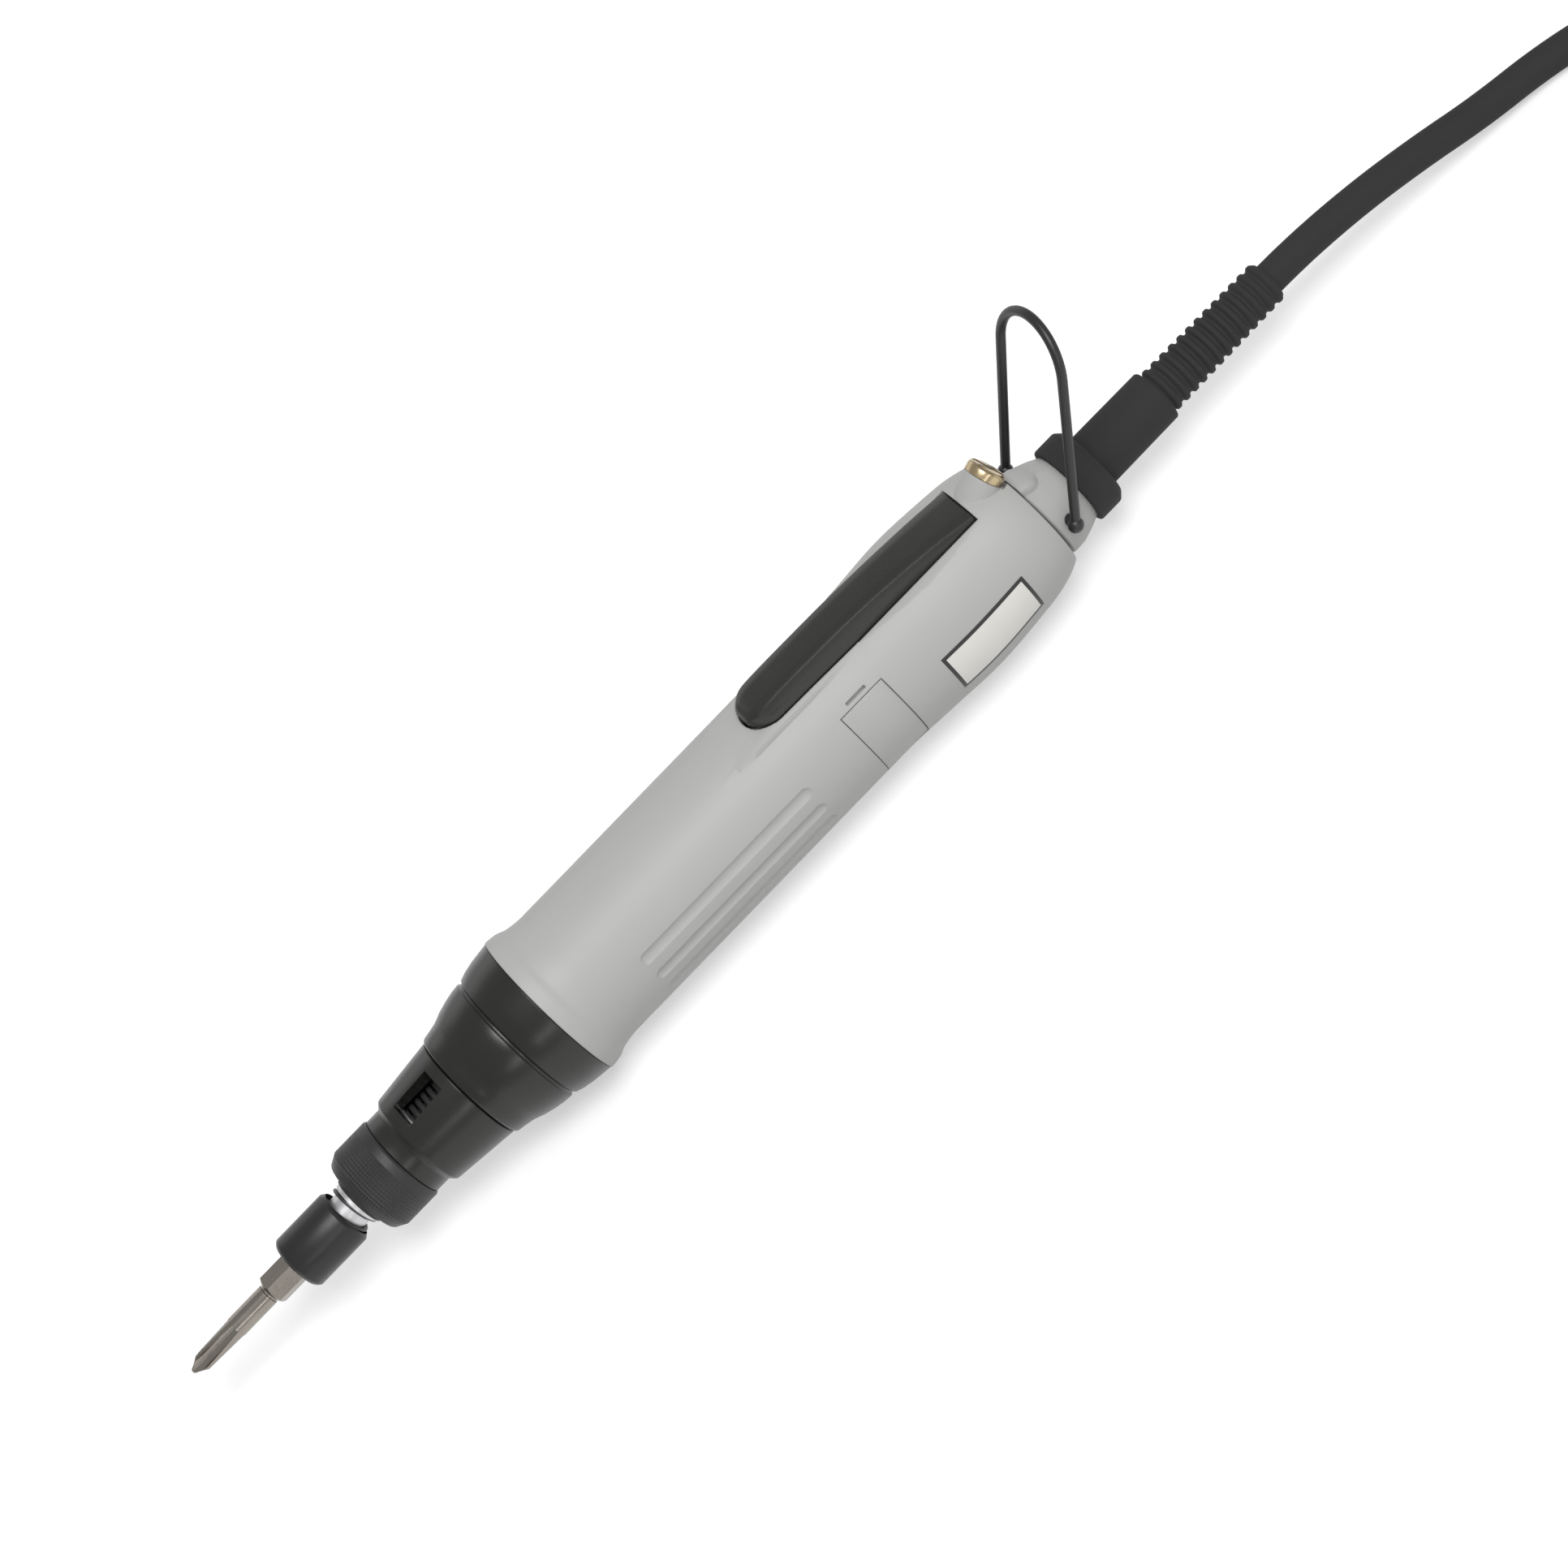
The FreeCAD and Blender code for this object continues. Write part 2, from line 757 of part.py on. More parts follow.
def make_carrier():
    """Planet carrier with its hub, clutch cam and planet pins."""
    cam = rod(x_cam, x_step - seat_gap, clutch_plate_r)
    hub = rod(x_cam, x_carrier + carrier_thick, hub_r)
    plate = rod(x_carrier, x_carrier + carrier_thick, carrier_r)
    solid = cam.fuse([hub, plate])
    for a in planet_places():
        solid = solid.fuse(rod(x_carrier, x_planet + gear_face, planet_pin_r,
                               planet_orbit * math.cos(a), planet_orbit * math.sin(a)))
    socket = rod(x_cam - overrun, x_step + hub_r + clear_gap, spindle_r + seat_gap)
    pockets = Part.makeCompound(clutch_balls_at(clutch_ball_r + seat_gap))
    return solid.removeSplitter().cut(socket).cut(pockets)


def tooth_outline(teeth, thin, outward, inward):
    """Corners (y, z) of a toothed wheel, with one tooth in the +Y direction."""
    pitch_r = module * teeth / 2
    base_r = pitch_r * math.cos(pressure_angle)
    low_r = pitch_r - inward
    high_r = pitch_r + outward
    start_r = max(base_r, low_r)
    flank = [start_r + (high_r - start_r) * share for share in (0, 1 / 3, 2 / 3, 1)]

    def rolled(r):
        angle = math.acos(min(1, base_r / r))
        return math.tan(angle) - angle

    half = math.pi / (2 * teeth) - thin / (2 * pitch_r) + math.tan(pressure_angle) - pressure_angle
    side = [(r, half - rolled(r)) for r in flank]
    if low_r < base_r:
        side.insert(0, (low_r, half))
    corners = []
    for k in range(teeth):
        middle = 2 * math.pi * k / teeth
        corners += [(r * math.cos(middle - a), r * math.sin(middle - a)) for r, a in side]
        corners += [(r * math.cos(middle + a), r * math.sin(middle + a)) for r, a in reversed(side)]
    return corners


def make_sun():
    """Sun gear on the motor shaft."""
    outline = tooth_outline(sun_teeth, backlash, module * addendum_share, module * dedendum_share)
    return prism(outline, x_planet, x_planet + gear_face).cut(
        rod(x_planet - overrun, x_planet + gear_face + overrun, shaft_r + seat_gap))


def make_planet(place):
    """Planet gear at one angle of the carrier."""
    outline = tooth_outline(planet_teeth, backlash, module * addendum_share, module * dedendum_share)
    gear = prism(outline, x_planet, x_planet + gear_face).cut(
        rod(x_planet - overrun, x_planet + gear_face + overrun, planet_pin_r + running_gap))
    return turn_to(gear, ALONG, math.degrees(place),
                   V(0, planet_orbit * math.cos(place), planet_orbit * math.sin(place)))


def make_ring_gear():
    """Fixed inner-toothed ring, held between the nose cone and the motor plate."""
    spaces = tooth_outline(ring_teeth, -backlash, module * dedendum_share, module * addendum_share)
    hole = prism(spaces, x_gear - overrun, x_motor_plate + overrun)
    return rod(x_gear, x_motor_plate, cavity_r - seat_gap).cut(hole)


def make_motor_plate():
    """Plate between the gear and the motor."""
    return tube(x_motor_plate, x_can, cavity_r - seat_gap, motor_bush_r + clear_gap)


def make_can():
    """Steel motor can with the boss of the front bush."""
    outside = rod(x_can, x_can_end, can_r)
    hollow = rod(x_can + can_wall, x_can_end + overrun, can_r - can_wall)
    boss = rod(x_can, x_can + motor_bush_length, motor_bush_r + bush_boss_wall)
    hole = rod(x_can - overrun, x_can + motor_bush_length + overrun, motor_bush_r + seat_gap)
    return outside.cut(hollow).fuse(boss).removeSplitter().cut(hole)


def make_motor_bush(x0):
    """Plain bearing of the motor shaft."""
    return tube(x0, x0 + motor_bush_length, motor_bush_r, shaft_r + running_gap)


def make_magnet(middle):
    """Curved magnet in the can."""
    x0 = x_can + (can_length - magnet_length) / 2
    r_out = can_r - can_wall - seat_gap
    return sector(x0, x0 + magnet_length, r_out - magnet_thick, r_out, middle, magnet_half_angle)


def armature_start():
    """Station of the front face of the armature."""
    return x_can + (can_length - armature_length) / 2


def armature_slots(width, depth):
    """Bars of the given section in the places of the winding slots."""
    x0 = armature_start()
    bar = block(x0, x0 + armature_length, -width / 2, width / 2, armature_r - depth, armature_r)
    return around(bar, slot_count)


def make_armature():
    """Slotted armature core."""
    x0 = armature_start()
    core = tube(x0, x0 + armature_length, armature_r, shaft_r + seat_gap)
    return core.cut(Part.makeCompound(armature_slots(slot_width, slot_depth)))


def make_windings():
    """Copper windings: bars in the slots and the turns at both ends."""
    x0 = armature_start()
    x1 = x0 + armature_length
    inner = armature_r - slot_depth
    bars = armature_slots(slot_width - slide_gap - slide_gap, slot_depth - clear_gap)
    reach = [tube(x0 - end_turn_length, x0 - seat_gap, end_turn_r, inner),
             tube(x1 + seat_gap, x1 + end_turn_length, end_turn_r, inner)]
    shift = ALONG * (end_turn_length / 2)
    links = []
    for bar in bars:
        trimmed = bar.common(rod(x0, x1, end_turn_r))
        links += [trimmed, trimmed.translated(shift), trimmed.translated(-shift)]
    return reach[0].fuse(reach[1:] + links).removeSplitter()


def make_commutator():
    """Commutator with its segments parted by slots."""
    x0 = x_brush - commutator_length / 2
    drum = tube(x0, x0 + commutator_length, commutator_r, shaft_r + seat_gap)
    kerf = block(x0 - overrun, x0 + commutator_length + overrun, -slide_gap, slide_gap,
                 commutator_r - clear_gap, commutator_r + overrun)
    return drum.cut(Part.makeCompound(around(kerf, slot_count)))


def make_shaft():
    """Motor shaft from the sun gear to the rear bush."""
    return rod(x_planet, x_bell_end - seat_gap, shaft_r)


def make_bell():
    """Insulating end bell with the two brush guides and the rear bush seat."""
    shell = rod(x_bell, x_bell_end, can_r).cut(rod(x_bell - overrun, x_bell_end - motor_bush_length,
                                                   can_r - bell_wall))
    hole = rod(x_bell, x_bell_end + overrun, motor_bush_r + seat_gap)
    solid = shell.cut(hole)
    half_x = brush_wide / 2
    half_z = brush_tall / 2
    for side in (-1, 1):
        y_low, y_high = sorted((side * guide_start, side * (can_r - seat_gap)))
        guide = block(x_brush - half_x - guide_wall, x_brush + half_x + guide_wall, y_low, y_high,
                      -half_z - guide_wall, half_z + guide_wall)
        solid = solid.fuse(guide)
    channel = block(x_brush - half_x - slide_gap, x_brush + half_x + slide_gap, -rim_r, rim_r,
                    -half_z - slide_gap, half_z + slide_gap)
    return solid.removeSplitter().cut(channel)


def make_brush(side):
    """Carbon brush against the commutator."""
    y0 = commutator_r + seat_gap
    y_low, y_high = sorted((side * y0, side * (y0 + brush_length)))
    block_shape = block(x_brush - brush_wide / 2, x_brush + brush_wide / 2, y_low, y_high, -brush_tall / 2,
                        brush_tall / 2)
    hollow = Part.makeCylinder(commutator_r + seat_gap, brush_wide + overrun + overrun,
                               V(x_brush - brush_wide / 2 - overrun, 0, 0), ALONG)
    return block_shape.cut(hollow)


def make_brush_spring(side):
    """Spring between a brush and its hatch."""
    start = commutator_r + seat_gap + brush_length
    end = body_r - hatch_thick
    spring = coil_spring(brush_spring_r, brush_spring_wire_r, start, end, brush_spring_turns, "brush_spring")
    return turn_to(spring, UP, side_angle * side, V(x_brush, 0, 0))


def make_hatch(side):
    """Hatch over a brush, with a nail slot in its upper edge and a collar round the spring."""
    half = hatch_length / 2
    middle = -side_angle * side
    cover = sector(x_brush - half, x_brush + half, body_r - hatch_thick, body_r, middle, hatch_half_angle)
    collar_out = brush_spring_r + brush_spring_wire_r + clear_gap + hatch_boss_wall
    collar_in = collar_out - hatch_boss_wall
    foot = can_r + clear_gap
    base = V(x_brush, side * foot, 0)
    height = body_r - hatch_thick / 2 - foot
    collar = Part.makeCylinder(collar_out, height, base, ACROSS * side).cut(
        Part.makeCylinder(collar_in, body_r - hatch_thick - foot, base, ACROSS * side))
    nail = block(x_brush - nail_slot_length / 2, x_brush + nail_slot_length / 2, -nail_slot_wide,
                 nail_slot_wide,
                 body_r - nail_slot_depth, body_r + overrun)
    nail.rotate(V(0, 0, 0), ALONG, middle + side * hatch_half_angle)
    return cover.fuse(collar).removeSplitter().cut(nail)


def body_outline():
    """Outer outline of the body, front to rear."""
    front = V(x_body, 0, rim_r)
    neck = V(x_body + rim_length, 0, body_r)
    sag = V(x_body + rim_length * rim_sag_shares[0], 0, body_r + (rim_r - body_r) * rim_sag_shares[1])
    foot = V(x_cap - swell_start_ahead, 0, body_r)
    top = V(x_cap - swell_top_ahead, 0, swell_r)
    swell = [foot, (foot + top) / 2, top, V(x_cap - shoulder_ahead, 0, shoulder_r),
             V(x_cap - shoulder_mid_ahead, 0, shoulder_mid_r), V(x_cap, 0, rear_r)]
    curve = Part.BSplineCurve()
    curve.interpolate(swell, InitialTangent=ALONG, FinalTangent=V(1, 0, -rear_slope_share))
    return [Part.Arc(front, sag, neck).toShape(), Part.LineSegment(neck, swell[0]).toShape(),
            curve.toShape()]


def tilted(shape):
    """Turn a shape made along X onto the axis of the end cap's screw."""
    return turn_to(shape, ACROSS, -screw_tilt_angle, screw_seat)


def tongue(grow):
    """Tongue of the end cap inside the body, and the room for it when grown on all sides."""
    x_front = x_cap - tongue_length - grow
    x_high = x_cap - tongue_slope_length + grow
    outline = [(x_cap, tongue_foot - grow), (x_cap, tongue_root + grow), (x_high, tongue_top + grow),
               (x_front, tongue_top + grow), (x_front, tongue_top - tongue_under - grow),
               (x_high, tongue_foot - grow)]
    half = tongue_half + grow
    corners = [V(x, -half, z) for x, z in outline]
    return Part.Face(Part.makePolygon(corners + corners[:1])).extrude(ACROSS * (half + half))


def body_solid():
    """The body's outside as one turned solid."""
    edges = body_outline()
    rear_edge = Part.LineSegment(V(x_cap, 0, rear_r), V(x_cap, 0, 0)).toShape()
    axis_edge = Part.LineSegment(V(x_cap, 0, 0), V(x_body, 0, 0)).toShape()
    front_edge = Part.LineSegment(V(x_body, 0, 0), V(x_body, 0, rim_r)).toShape()
    return Part.Face(Part.Wire(edges + [rear_edge, axis_edge, front_edge])).revolve(V(0, 0, 0), ALONG, 360)


def lever_pad():
    """Raised strip under the lever, rising from the barrel and running out at the rear."""
    x0 = x_cap - pad_start_ahead
    x1 = x_cap - pad_full_ahead
    x2 = x_cap - pad_end_ahead
    side = [V(x0, -pad_half, body_r - pad_edge_r), V(x1, -pad_half, pad_top),
            V(x_cap - pad_fall_ahead, -pad_half, pad_top), V(x2, -pad_half, rear_r - pad_end_fall),
            V(x2, -pad_half, cavity_rear_r), V(x0, -pad_half, cavity_rear_r)]
    along = Part.Face(Part.makePolygon(side + side[:1])).extrude(ACROSS * (pad_half + pad_half))
    low, high = cavity_r / 2, pad_top - pad_edge_r
    wide = pad_half - pad_edge_r
    across = prism([(-pad_half, low), (-pad_half, high), (-wide, pad_top), (wide, pad_top),
                    (pad_half, high), (pad_half, low)], x0, x2)
    return along.common(across)


def cavity():
    """Inside of the body."""
    x_taper = x_cap - rear_wall - cavity_taper
    x_back = x_cap - rear_wall
    return turned([(x_body - overrun, 0), (x_body - overrun, cavity_r), (x_taper, cavity_r),
                   (x_back, cavity_rear_r), (x_back, 0)])


def grip_flute_cuts():
    """Shallow grip flutes on both sides of the barrel."""
    x0 = x_body + flute_start_back + grip_flute_r
    x1 = x_cap - flute_end_ahead - grip_flute_r
    lift = body_r + grip_flute_r - grip_flute_depth
    cut = rod(x0, x1, grip_flute_r, 0, lift)
    for x in (x0, x1):
        cut = cut.fuse(Part.makeSphere(grip_flute_r, V(x, 0, lift)))
    cuts = []
    for side in (-side_angle, side_angle):
        for k in range(grip_flutes_per_side):
            flute = cut.copy()
            place = k - (grip_flutes_per_side - 1) / 2
            flute.rotate(V(0, 0, 0), ALONG, side + grip_flute_step_angle * place)
            cuts.append(flute)
    return cuts


def make_shells():
    """The two halves of the body, parted in the plane of the lever."""
    boss = tilted(rod(-screw_boss_depth, 0, screw_head_r + screw_boss_side))
    solid = body_solid().fuse([lever_pad(), boss]).removeSplitter().cut(cavity())
    ribs = [x_can + can_length * share for share in rib_places_shares] + [x_bell_end - bell_rib_ahead]
    for x0 in ribs:
        solid = solid.fuse(tube(x0, x0 + rib_thick, cavity_r + seat_gap, can_r + seat_gap))
    rail_top = board_height - board_thick - seat_gap
    for side in (-1, 1):
        y_low, y_high = sorted((side * (board_half + slide_gap - rail_wide), side * (cavity_r + seat_gap)))
        rail = block(x_board, x_board_end, y_low, y_high,
                     rail_top - rail_thick, rail_top)
        solid = solid.fuse(rail.common(rod(x_body, x_cap, body_r - seat_gap)))
    half = lever_half + lever_slot_side
    slot_floor = lever_rear_bottom - clear_gap * 2
    x_round = x_lever + lever_half
    slot = block(x_round, x_lever_end + lever_slot_end, -half, half, slot_floor, rim_r + rim_r).fuse(
        Part.makeCylinder(half, rim_r + rim_r - slot_floor, V(x_round, 0, slot_floor), UP)).removeSplitter()
    pin_hole = Part.makeCylinder(lever_pin_r + seat_gap, (lever_pin_half + seat_gap) * 2,
                                 V(x_pin, -lever_pin_half - seat_gap, lever_pin_height), ACROSS)
    hatch_half = hatch_length / 2 + slide_gap
    grown = hatch_half_angle + math.degrees(slide_gap / body_r)
    cuts = [slot, pin_hole] + grip_flute_cuts()
    cuts += [sector(x_brush - hatch_half, x_brush + hatch_half, can_r - overrun, rim_r + overrun,
                    -side_angle * side, grown)
             for side in (-1, 1)]
    spigot_hole = rod(x_cap - rear_wall - overrun, x_cap + overrun, cap_spigot_r + seat_gap, 0,
                      -cap_front_drop)
    screw_hole = tilted(rod(-screw_shank_length - clear_gap, overrun, screw_shank_r + seat_gap))
    head_room = tilted(rod(0, screw_head_thick + overrun, screw_head_r + screw_boss_side + clear_gap))
    cuts += [spigot_hole, tongue(slide_gap), screw_hole, head_room]
    solid = solid.removeSplitter()
    for cut in cuts:
        solid = solid.cut(cut)
    reach = rim_r + rim_r
    left = solid.common(block(x_body - overrun, x_cap + overrun, 0, reach, -reach, reach))
    right = solid.common(block(x_body - overrun, x_cap + overrun, -reach, 0, -reach, reach))
    return left, right


def make_lever():
    """Start lever, hinged at its rear end, with the rib that meets the switch."""
    span = x_lever_end - x_lever
    places = [x_lever + span * share for share in lever_top_shares]
    top = [V(x_lever, 0, lever_nose_top), V(places[0], 0, lever_front_top - lever_edge),
           V(places[1], 0, lever_front_top), V(places[2], 0, lever_mid_top), V(x_lever_end, 0,
                                                                               lever_rear_top)]
    nose = Part.Arc(top[0], top[1], top[2]).toShape()
    crown = Part.BSplineCurve()
    crown.interpolate([top[2], top[3], top[4]], InitialTangent=ALONG,
                      FinalTangent=V(1, 0, -lever_end_slope_share))
    x_back = x_pin - lever_pin_back
    corners = [top[4], V(x_lever_end, 0, lever_rear_bottom),
               V(x_back - lever_pin_back, 0, lever_rear_bottom),
               V(x_switch, 0, lever_mid_bottom), V(x_lever, 0, lever_front_bottom), top[0]]
    sides = [Part.LineSegment(a, b).toShape() for a, b in zip(corners, corners[1:])]
    face = Part.Face(Part.Wire([nose, crown.toShape()] + sides))
    bar = face.extrude(ACROSS * (lever_half + lever_half)).translated(V(0, -lever_half, 0))
    plan = Part.makeCylinder(lever_half, rim_r + rim_r, V(x_lever + lever_half, 0, 0), UP).fuse(
        block(x_lever + lever_half, x_lever_end, -lever_half, lever_half, 0, rim_r + rim_r)).removeSplitter()
    bar = bar.common(plan)
    low = switch_top + plunger_out + clear_gap
    half = plunger_rib_wide / 2
    rib = block(x_plunger - half, x_plunger + half, -half, half, low, lever_mid_bottom + lever_edge)
    hole = Part.makeCylinder(lever_pin_r + running_gap, rim_r + rim_r, V(x_pin, -rim_r, lever_pin_height),
                             ACROSS)
    return bar.fuse(rib).removeSplitter().cut(hole)


def make_lever_pin():
    """Hinge pin of the lever, held in both shells."""
    return Part.makeCylinder(lever_pin_r, lever_pin_half * 2, V(x_pin, -lever_pin_half, lever_pin_height),
                             ACROSS)


def lever_underside(x):
    """Height of the lever's underside over a station behind the switch's front."""
    x_low = x_pin - lever_pin_back - lever_pin_back
    share = min(1, (x - x_switch) / (x_low - x_switch))
    return lever_mid_bottom + (lever_rear_bottom - lever_mid_bottom) * share


def make_lever_spring():
    """Spring between the switch and the lever."""
    low_edge = lever_underside(x_lever_spring + lever_spring_r + lever_spring_wire_r)
    spring = coil_spring(lever_spring_r, lever_spring_wire_r, switch_top, low_edge - seat_gap,
                         lever_spring_turns, "lever_spring")
    return turn_to(spring, ACROSS, -side_angle, V(x_lever_spring, 0, 0))


def make_switch():
    """Start switch on the board."""
    half = switch_wide / 2
    case = block(x_switch, x_switch + switch_length, -half, half, board_height, switch_top)
    pocket = Part.makeCylinder(plunger_r + seat_gap, plunger_pocket + overrun,
                               V(x_plunger, 0, switch_top - plunger_pocket), UP)
    return case.cut(pocket)


def make_plunger():
    """Button of the switch, pressed by the lever's rib."""
    return Part.makeCylinder(plunger_r, plunger_sunk + plunger_out,
                             V(x_plunger, 0, switch_top - plunger_sunk), UP)


def make_board():
    """Circuit board that carries the switch."""
    return block(x_board, x_board_end, -board_half, board_half, board_height - board_thick, board_height)


def make_end_cap():
    """End cap that leads from the body to the cord, with its screw tongue and bail holes."""
    sections = [(x_cap, cap_front_r, cap_front_drop), (x_cap + cap_length * cap_mid_share, cap_mid_r,
                                                       cap_mid_drop),
                (x_gland, cap_rear_r, cord_drop)]
    rings = [Part.Wire([Part.Circle(V(x, 0, -drop), ALONG, r).toShape()]) for x, r, drop in sections]
    solid = Part.makeLoft(rings, True, False)
    spigot = rod(x_cap - rear_wall, x_cap, cap_spigot_r, 0, -cap_front_drop)
    solid = solid.fuse([spigot, tongue(0)]).removeSplitter()
    solid = solid.cut(rod(x_cap - rear_wall - overrun, x_gland + overrun, cord_r + seat_gap, 0, -cord_drop))
    solid = solid.cut(tilted(rod(-screw_shank_length - clear_gap, overrun, screw_shank_r + seat_gap)))
    for side in (-1, 1):
        base = V(x_pivot, side * (bail_insert - clear_gap), 0)
        solid = solid.cut(Part.makeCylinder(bail_wire_r + hinge_gap, rim_r, base, ACROSS * side))
    return solid


def make_cap_screw():
    """Slotted round-head screw through the shoulder into the end cap's tongue."""
    edge = screw_slot / 2
    head = turned([(0, 0), (0, screw_head_r), (screw_head_thick - edge, screw_head_r),
                   (screw_head_thick, screw_head_r - edge), (screw_head_thick, 0)])
    shank = rod(-screw_shank_length, 0, screw_shank_r)
    slot = block(screw_head_thick - screw_slot_depth, screw_head_thick + overrun, -edge, edge,
                 -screw_head_r, screw_head_r)
    slot.rotate(V(0, 0, 0), ALONG, screw_slot_turn)
    return tilted(head.fuse(shank).removeSplitter().cut(slot))


def make_gland():
    """Gland nut behind the end cap."""
    nut = turned([(x_gland, 0), (x_gland, gland_r - gland_chamfer / 4),
                  (x_gland + gland_chamfer / 4, gland_r),
                  (x_boot - gland_chamfer, gland_r), (x_boot, gland_r - gland_chamfer), (x_boot, 0)])
    return nut.cut(rod(x_gland - overrun, x_boot + overrun, cord_r + seat_gap)).translated(V(0, 0,
                                                                                             -cord_drop))


def make_boot():
    """Strain relief: a smooth sleeve and a ribbed tail with the cord's bore."""
    outline = [(x_boot, 0), (x_boot, boot_r), (x_rib, boot_rear_r)]
    pitch = boot_rib_length / boot_ribs
    for k in range(boot_ribs):
        x0 = x_rib + pitch * k
        r = boot_rib_r + (boot_rib_end_r - boot_rib_r) * k / (boot_ribs - 1)
        crest = x0 + pitch * boot_crest_share
        outline += [(x0, boot_root_r), (crest - boot_rib_crest / 2, r), (crest + boot_rib_crest / 2, r)]
    outline += [(x_end, boot_root_r), (x_end, 0)]
    bore = rod(x_boot - overrun, x_end + overrun, cord_r + seat_gap)
    return turned(outline).cut(bore).translated(V(0, 0, -cord_drop))


def make_bail():
    """Wire bail: two legs that run into a round top, with pivots bent into the end cap."""
    centre = bail_length - bail_top_r
    turn = math.atan2(bail_half, centre) - math.asin(bail_top_r / math.hypot(bail_half, centre))
    touch = V(centre + bail_top_r * math.sin(turn), bail_top_r * math.cos(turn), 0)
    foot = V(0, bail_half, 0)
    leg = touch - foot
    section = Part.Face(Part.Wire([Part.Circle(touch, unit(leg), bail_wire_r).toShape()]))
    solid = section.revolve(V(centre, 0, 0), UP, (math.degrees(turn) - side_angle) * 2)
    for side in (-1, 1):
        start = V(foot.x, foot.y * side, 0)
        wire = Part.makeCylinder(bail_wire_r, leg.Length, start, V(leg.x, leg.y * side, 0))
        inner = V(0, side * bail_insert, 0)
        pivot = Part.makeCylinder(bail_wire_r, bail_half - bail_insert, inner, ACROSS * side)
        knuckle = turn_to(Part.makeSphere(bail_knuckle_r), UP, side_angle * 2, start)
        solid = solid.fuse([wire, knuckle, pivot])
    return turn_to(solid.removeSplitter(), ACROSS, -bail_rest_angle, V(x_pivot, 0, 0))


def make_cord_lead():
    """Cord from inside the end cap to the hank, with arcs as large as its runs allow."""
    points = [p - V(0, 0, axis_height) for p in cord_points]
    edges = []
    start = points[0]
    for before, corner, after in zip(points, points[1:], points[2:]):
        arrive = unit(corner - before)
        leave = unit(after - corner)
        turn = arrive.getAngle(leave)
        cut_back = bend_share * min((corner - before).Length, (after - corner).Length)
        radius = cut_back / math.tan(turn / 2)
        first = corner - arrive * cut_back
        last = corner + leave * cut_back
        bisector = unit(leave - arrive)
        middle = corner + bisector * (math.hypot(radius, cut_back) - radius)
        edges += [Part.LineSegment(start, first).toShape(), Part.Arc(first, middle, last).toShape()]
        print("cord bend radius", round(radius, 1), "turn", round(math.degrees(turn), 1))
        start = last
    edges.append(Part.LineSegment(start, points[-1]).toShape())
    path = Part.Wire(edges)
    profile = Part.Wire([Part.Circle(points[0], unit(points[1] - points[0]), cord_r).toShape()])
    free = Part.Solid(path.makePipeShell([profile], True, False))
    print("cord free length", round(path.Length, 1), "volume share",
          round(free.Volume / (math.pi * cord_r ** 2 * path.Length), 4))
    inside = rod(x_cap, points[0].x, cord_r, points[0].y, points[0].z)
    return free.fuse(inside).removeSplitter()


def hank_stops():
    """Stops of the hank: stacked long loops that climb one layer along each far run."""
    begin = cord_points[-1]
    x0, x1 = begin.x, begin.x + hank_run
    low = begin.z - axis_height
    stops = [(V(x0, begin.y, low), ALONG)]
    side = -begin.y
    for k in range(hank_layers):
        z = low + hank_layer * k
        rise = hank_layer if k < hank_layers - 1 else last_layer
        stops += [(V(x1, -side, z), ALONG), (V(x1 + side, 0, z), ACROSS), (V(x1, side, z), -ALONG)]
        stops += [(V(x0, side, z + rise), -ALONG), (V(x0 - side, 0, z + rise), -ACROSS),
                  (V(x0, -side, z + rise), ALONG)]
    end = stops[-1][0] + ALONG * (cord_r * 2)
    return stops + [(end, ALONG)]


def make_hank():
    """Put-away cord folded into a hank, one unbroken tube."""
    stops = hank_stops()
    samples = []
    for (p0, t0), (p1, t1) in zip(stops, stops[1:]):
        for edge in biarc(p0, t0, p1, t1):
            samples += edge.discretize(max(3, int(edge.Length / cord_r)))
    travelled = 0
    stations = []
    for a, b in zip(samples, samples[1:]):
        stations.append((travelled, a))
        travelled += (b - a).Length
    apart = cord_r * 2 * math.pi
    least = min((a - b).Length for i, (s, a) in enumerate(stations) for t,
                b in stations[i + 1:] if t - s > apart)
    print("hank least gap to itself", round(least - cord_r - cord_r, 2))
    return wire_tube(stops, cord_r, "hank")


def make_tie():
    """Strap round the far runs of the hank."""
    begin = cord_points[-1]
    x_mid = begin.x + hank_run / 2
    low = begin.z - axis_height + hank_layer / 2 - cord_r - tie_gap
    high = begin.z - axis_height + hank_layer * (hank_layers - 1) + last_layer / 2 + cord_r + tie_gap
    half = cord_r + clear_gap
    y = -begin.y
    outer = block(x_mid - tie_width / 2, x_mid + tie_width / 2, y - half - tie_thick, y + half + tie_thick,
                  low - tie_thick, high + tie_thick)
    inner = block(x_mid - tie_width, x_mid + tie_width, y - half, y + half, low, high)
    return outer.cut(inner)


def plug_start():
    """Middle of the cord's end face, where the plug begins."""
    return hank_stops()[-1][0]


def make_plug_grip():
    """Grip of the plug with its slimmer neck round the cord's end."""
    p = plug_start()
    x_grip = p.x + plug_neck_length
    x_back = x_grip + plug_grip_length
    grip = turned([(p.x, 0), (p.x, plug_neck_r), (x_grip, plug_neck_r), (x_grip, plug_grip_r),
                   (x_back, plug_grip_r),
                   (x_back, 0)])
    return grip.translated(V(0, p.y, p.z))


def make_plug_shell():
    """Metal shell of the plug that enters the socket."""
    p = plug_start()
    x0 = p.x + plug_neck_length + plug_grip_length
    return tube(x0, x0 + plug_shell_length, plug_shell_r, plug_shell_r - plug_shell_wall, p.y, p.z)


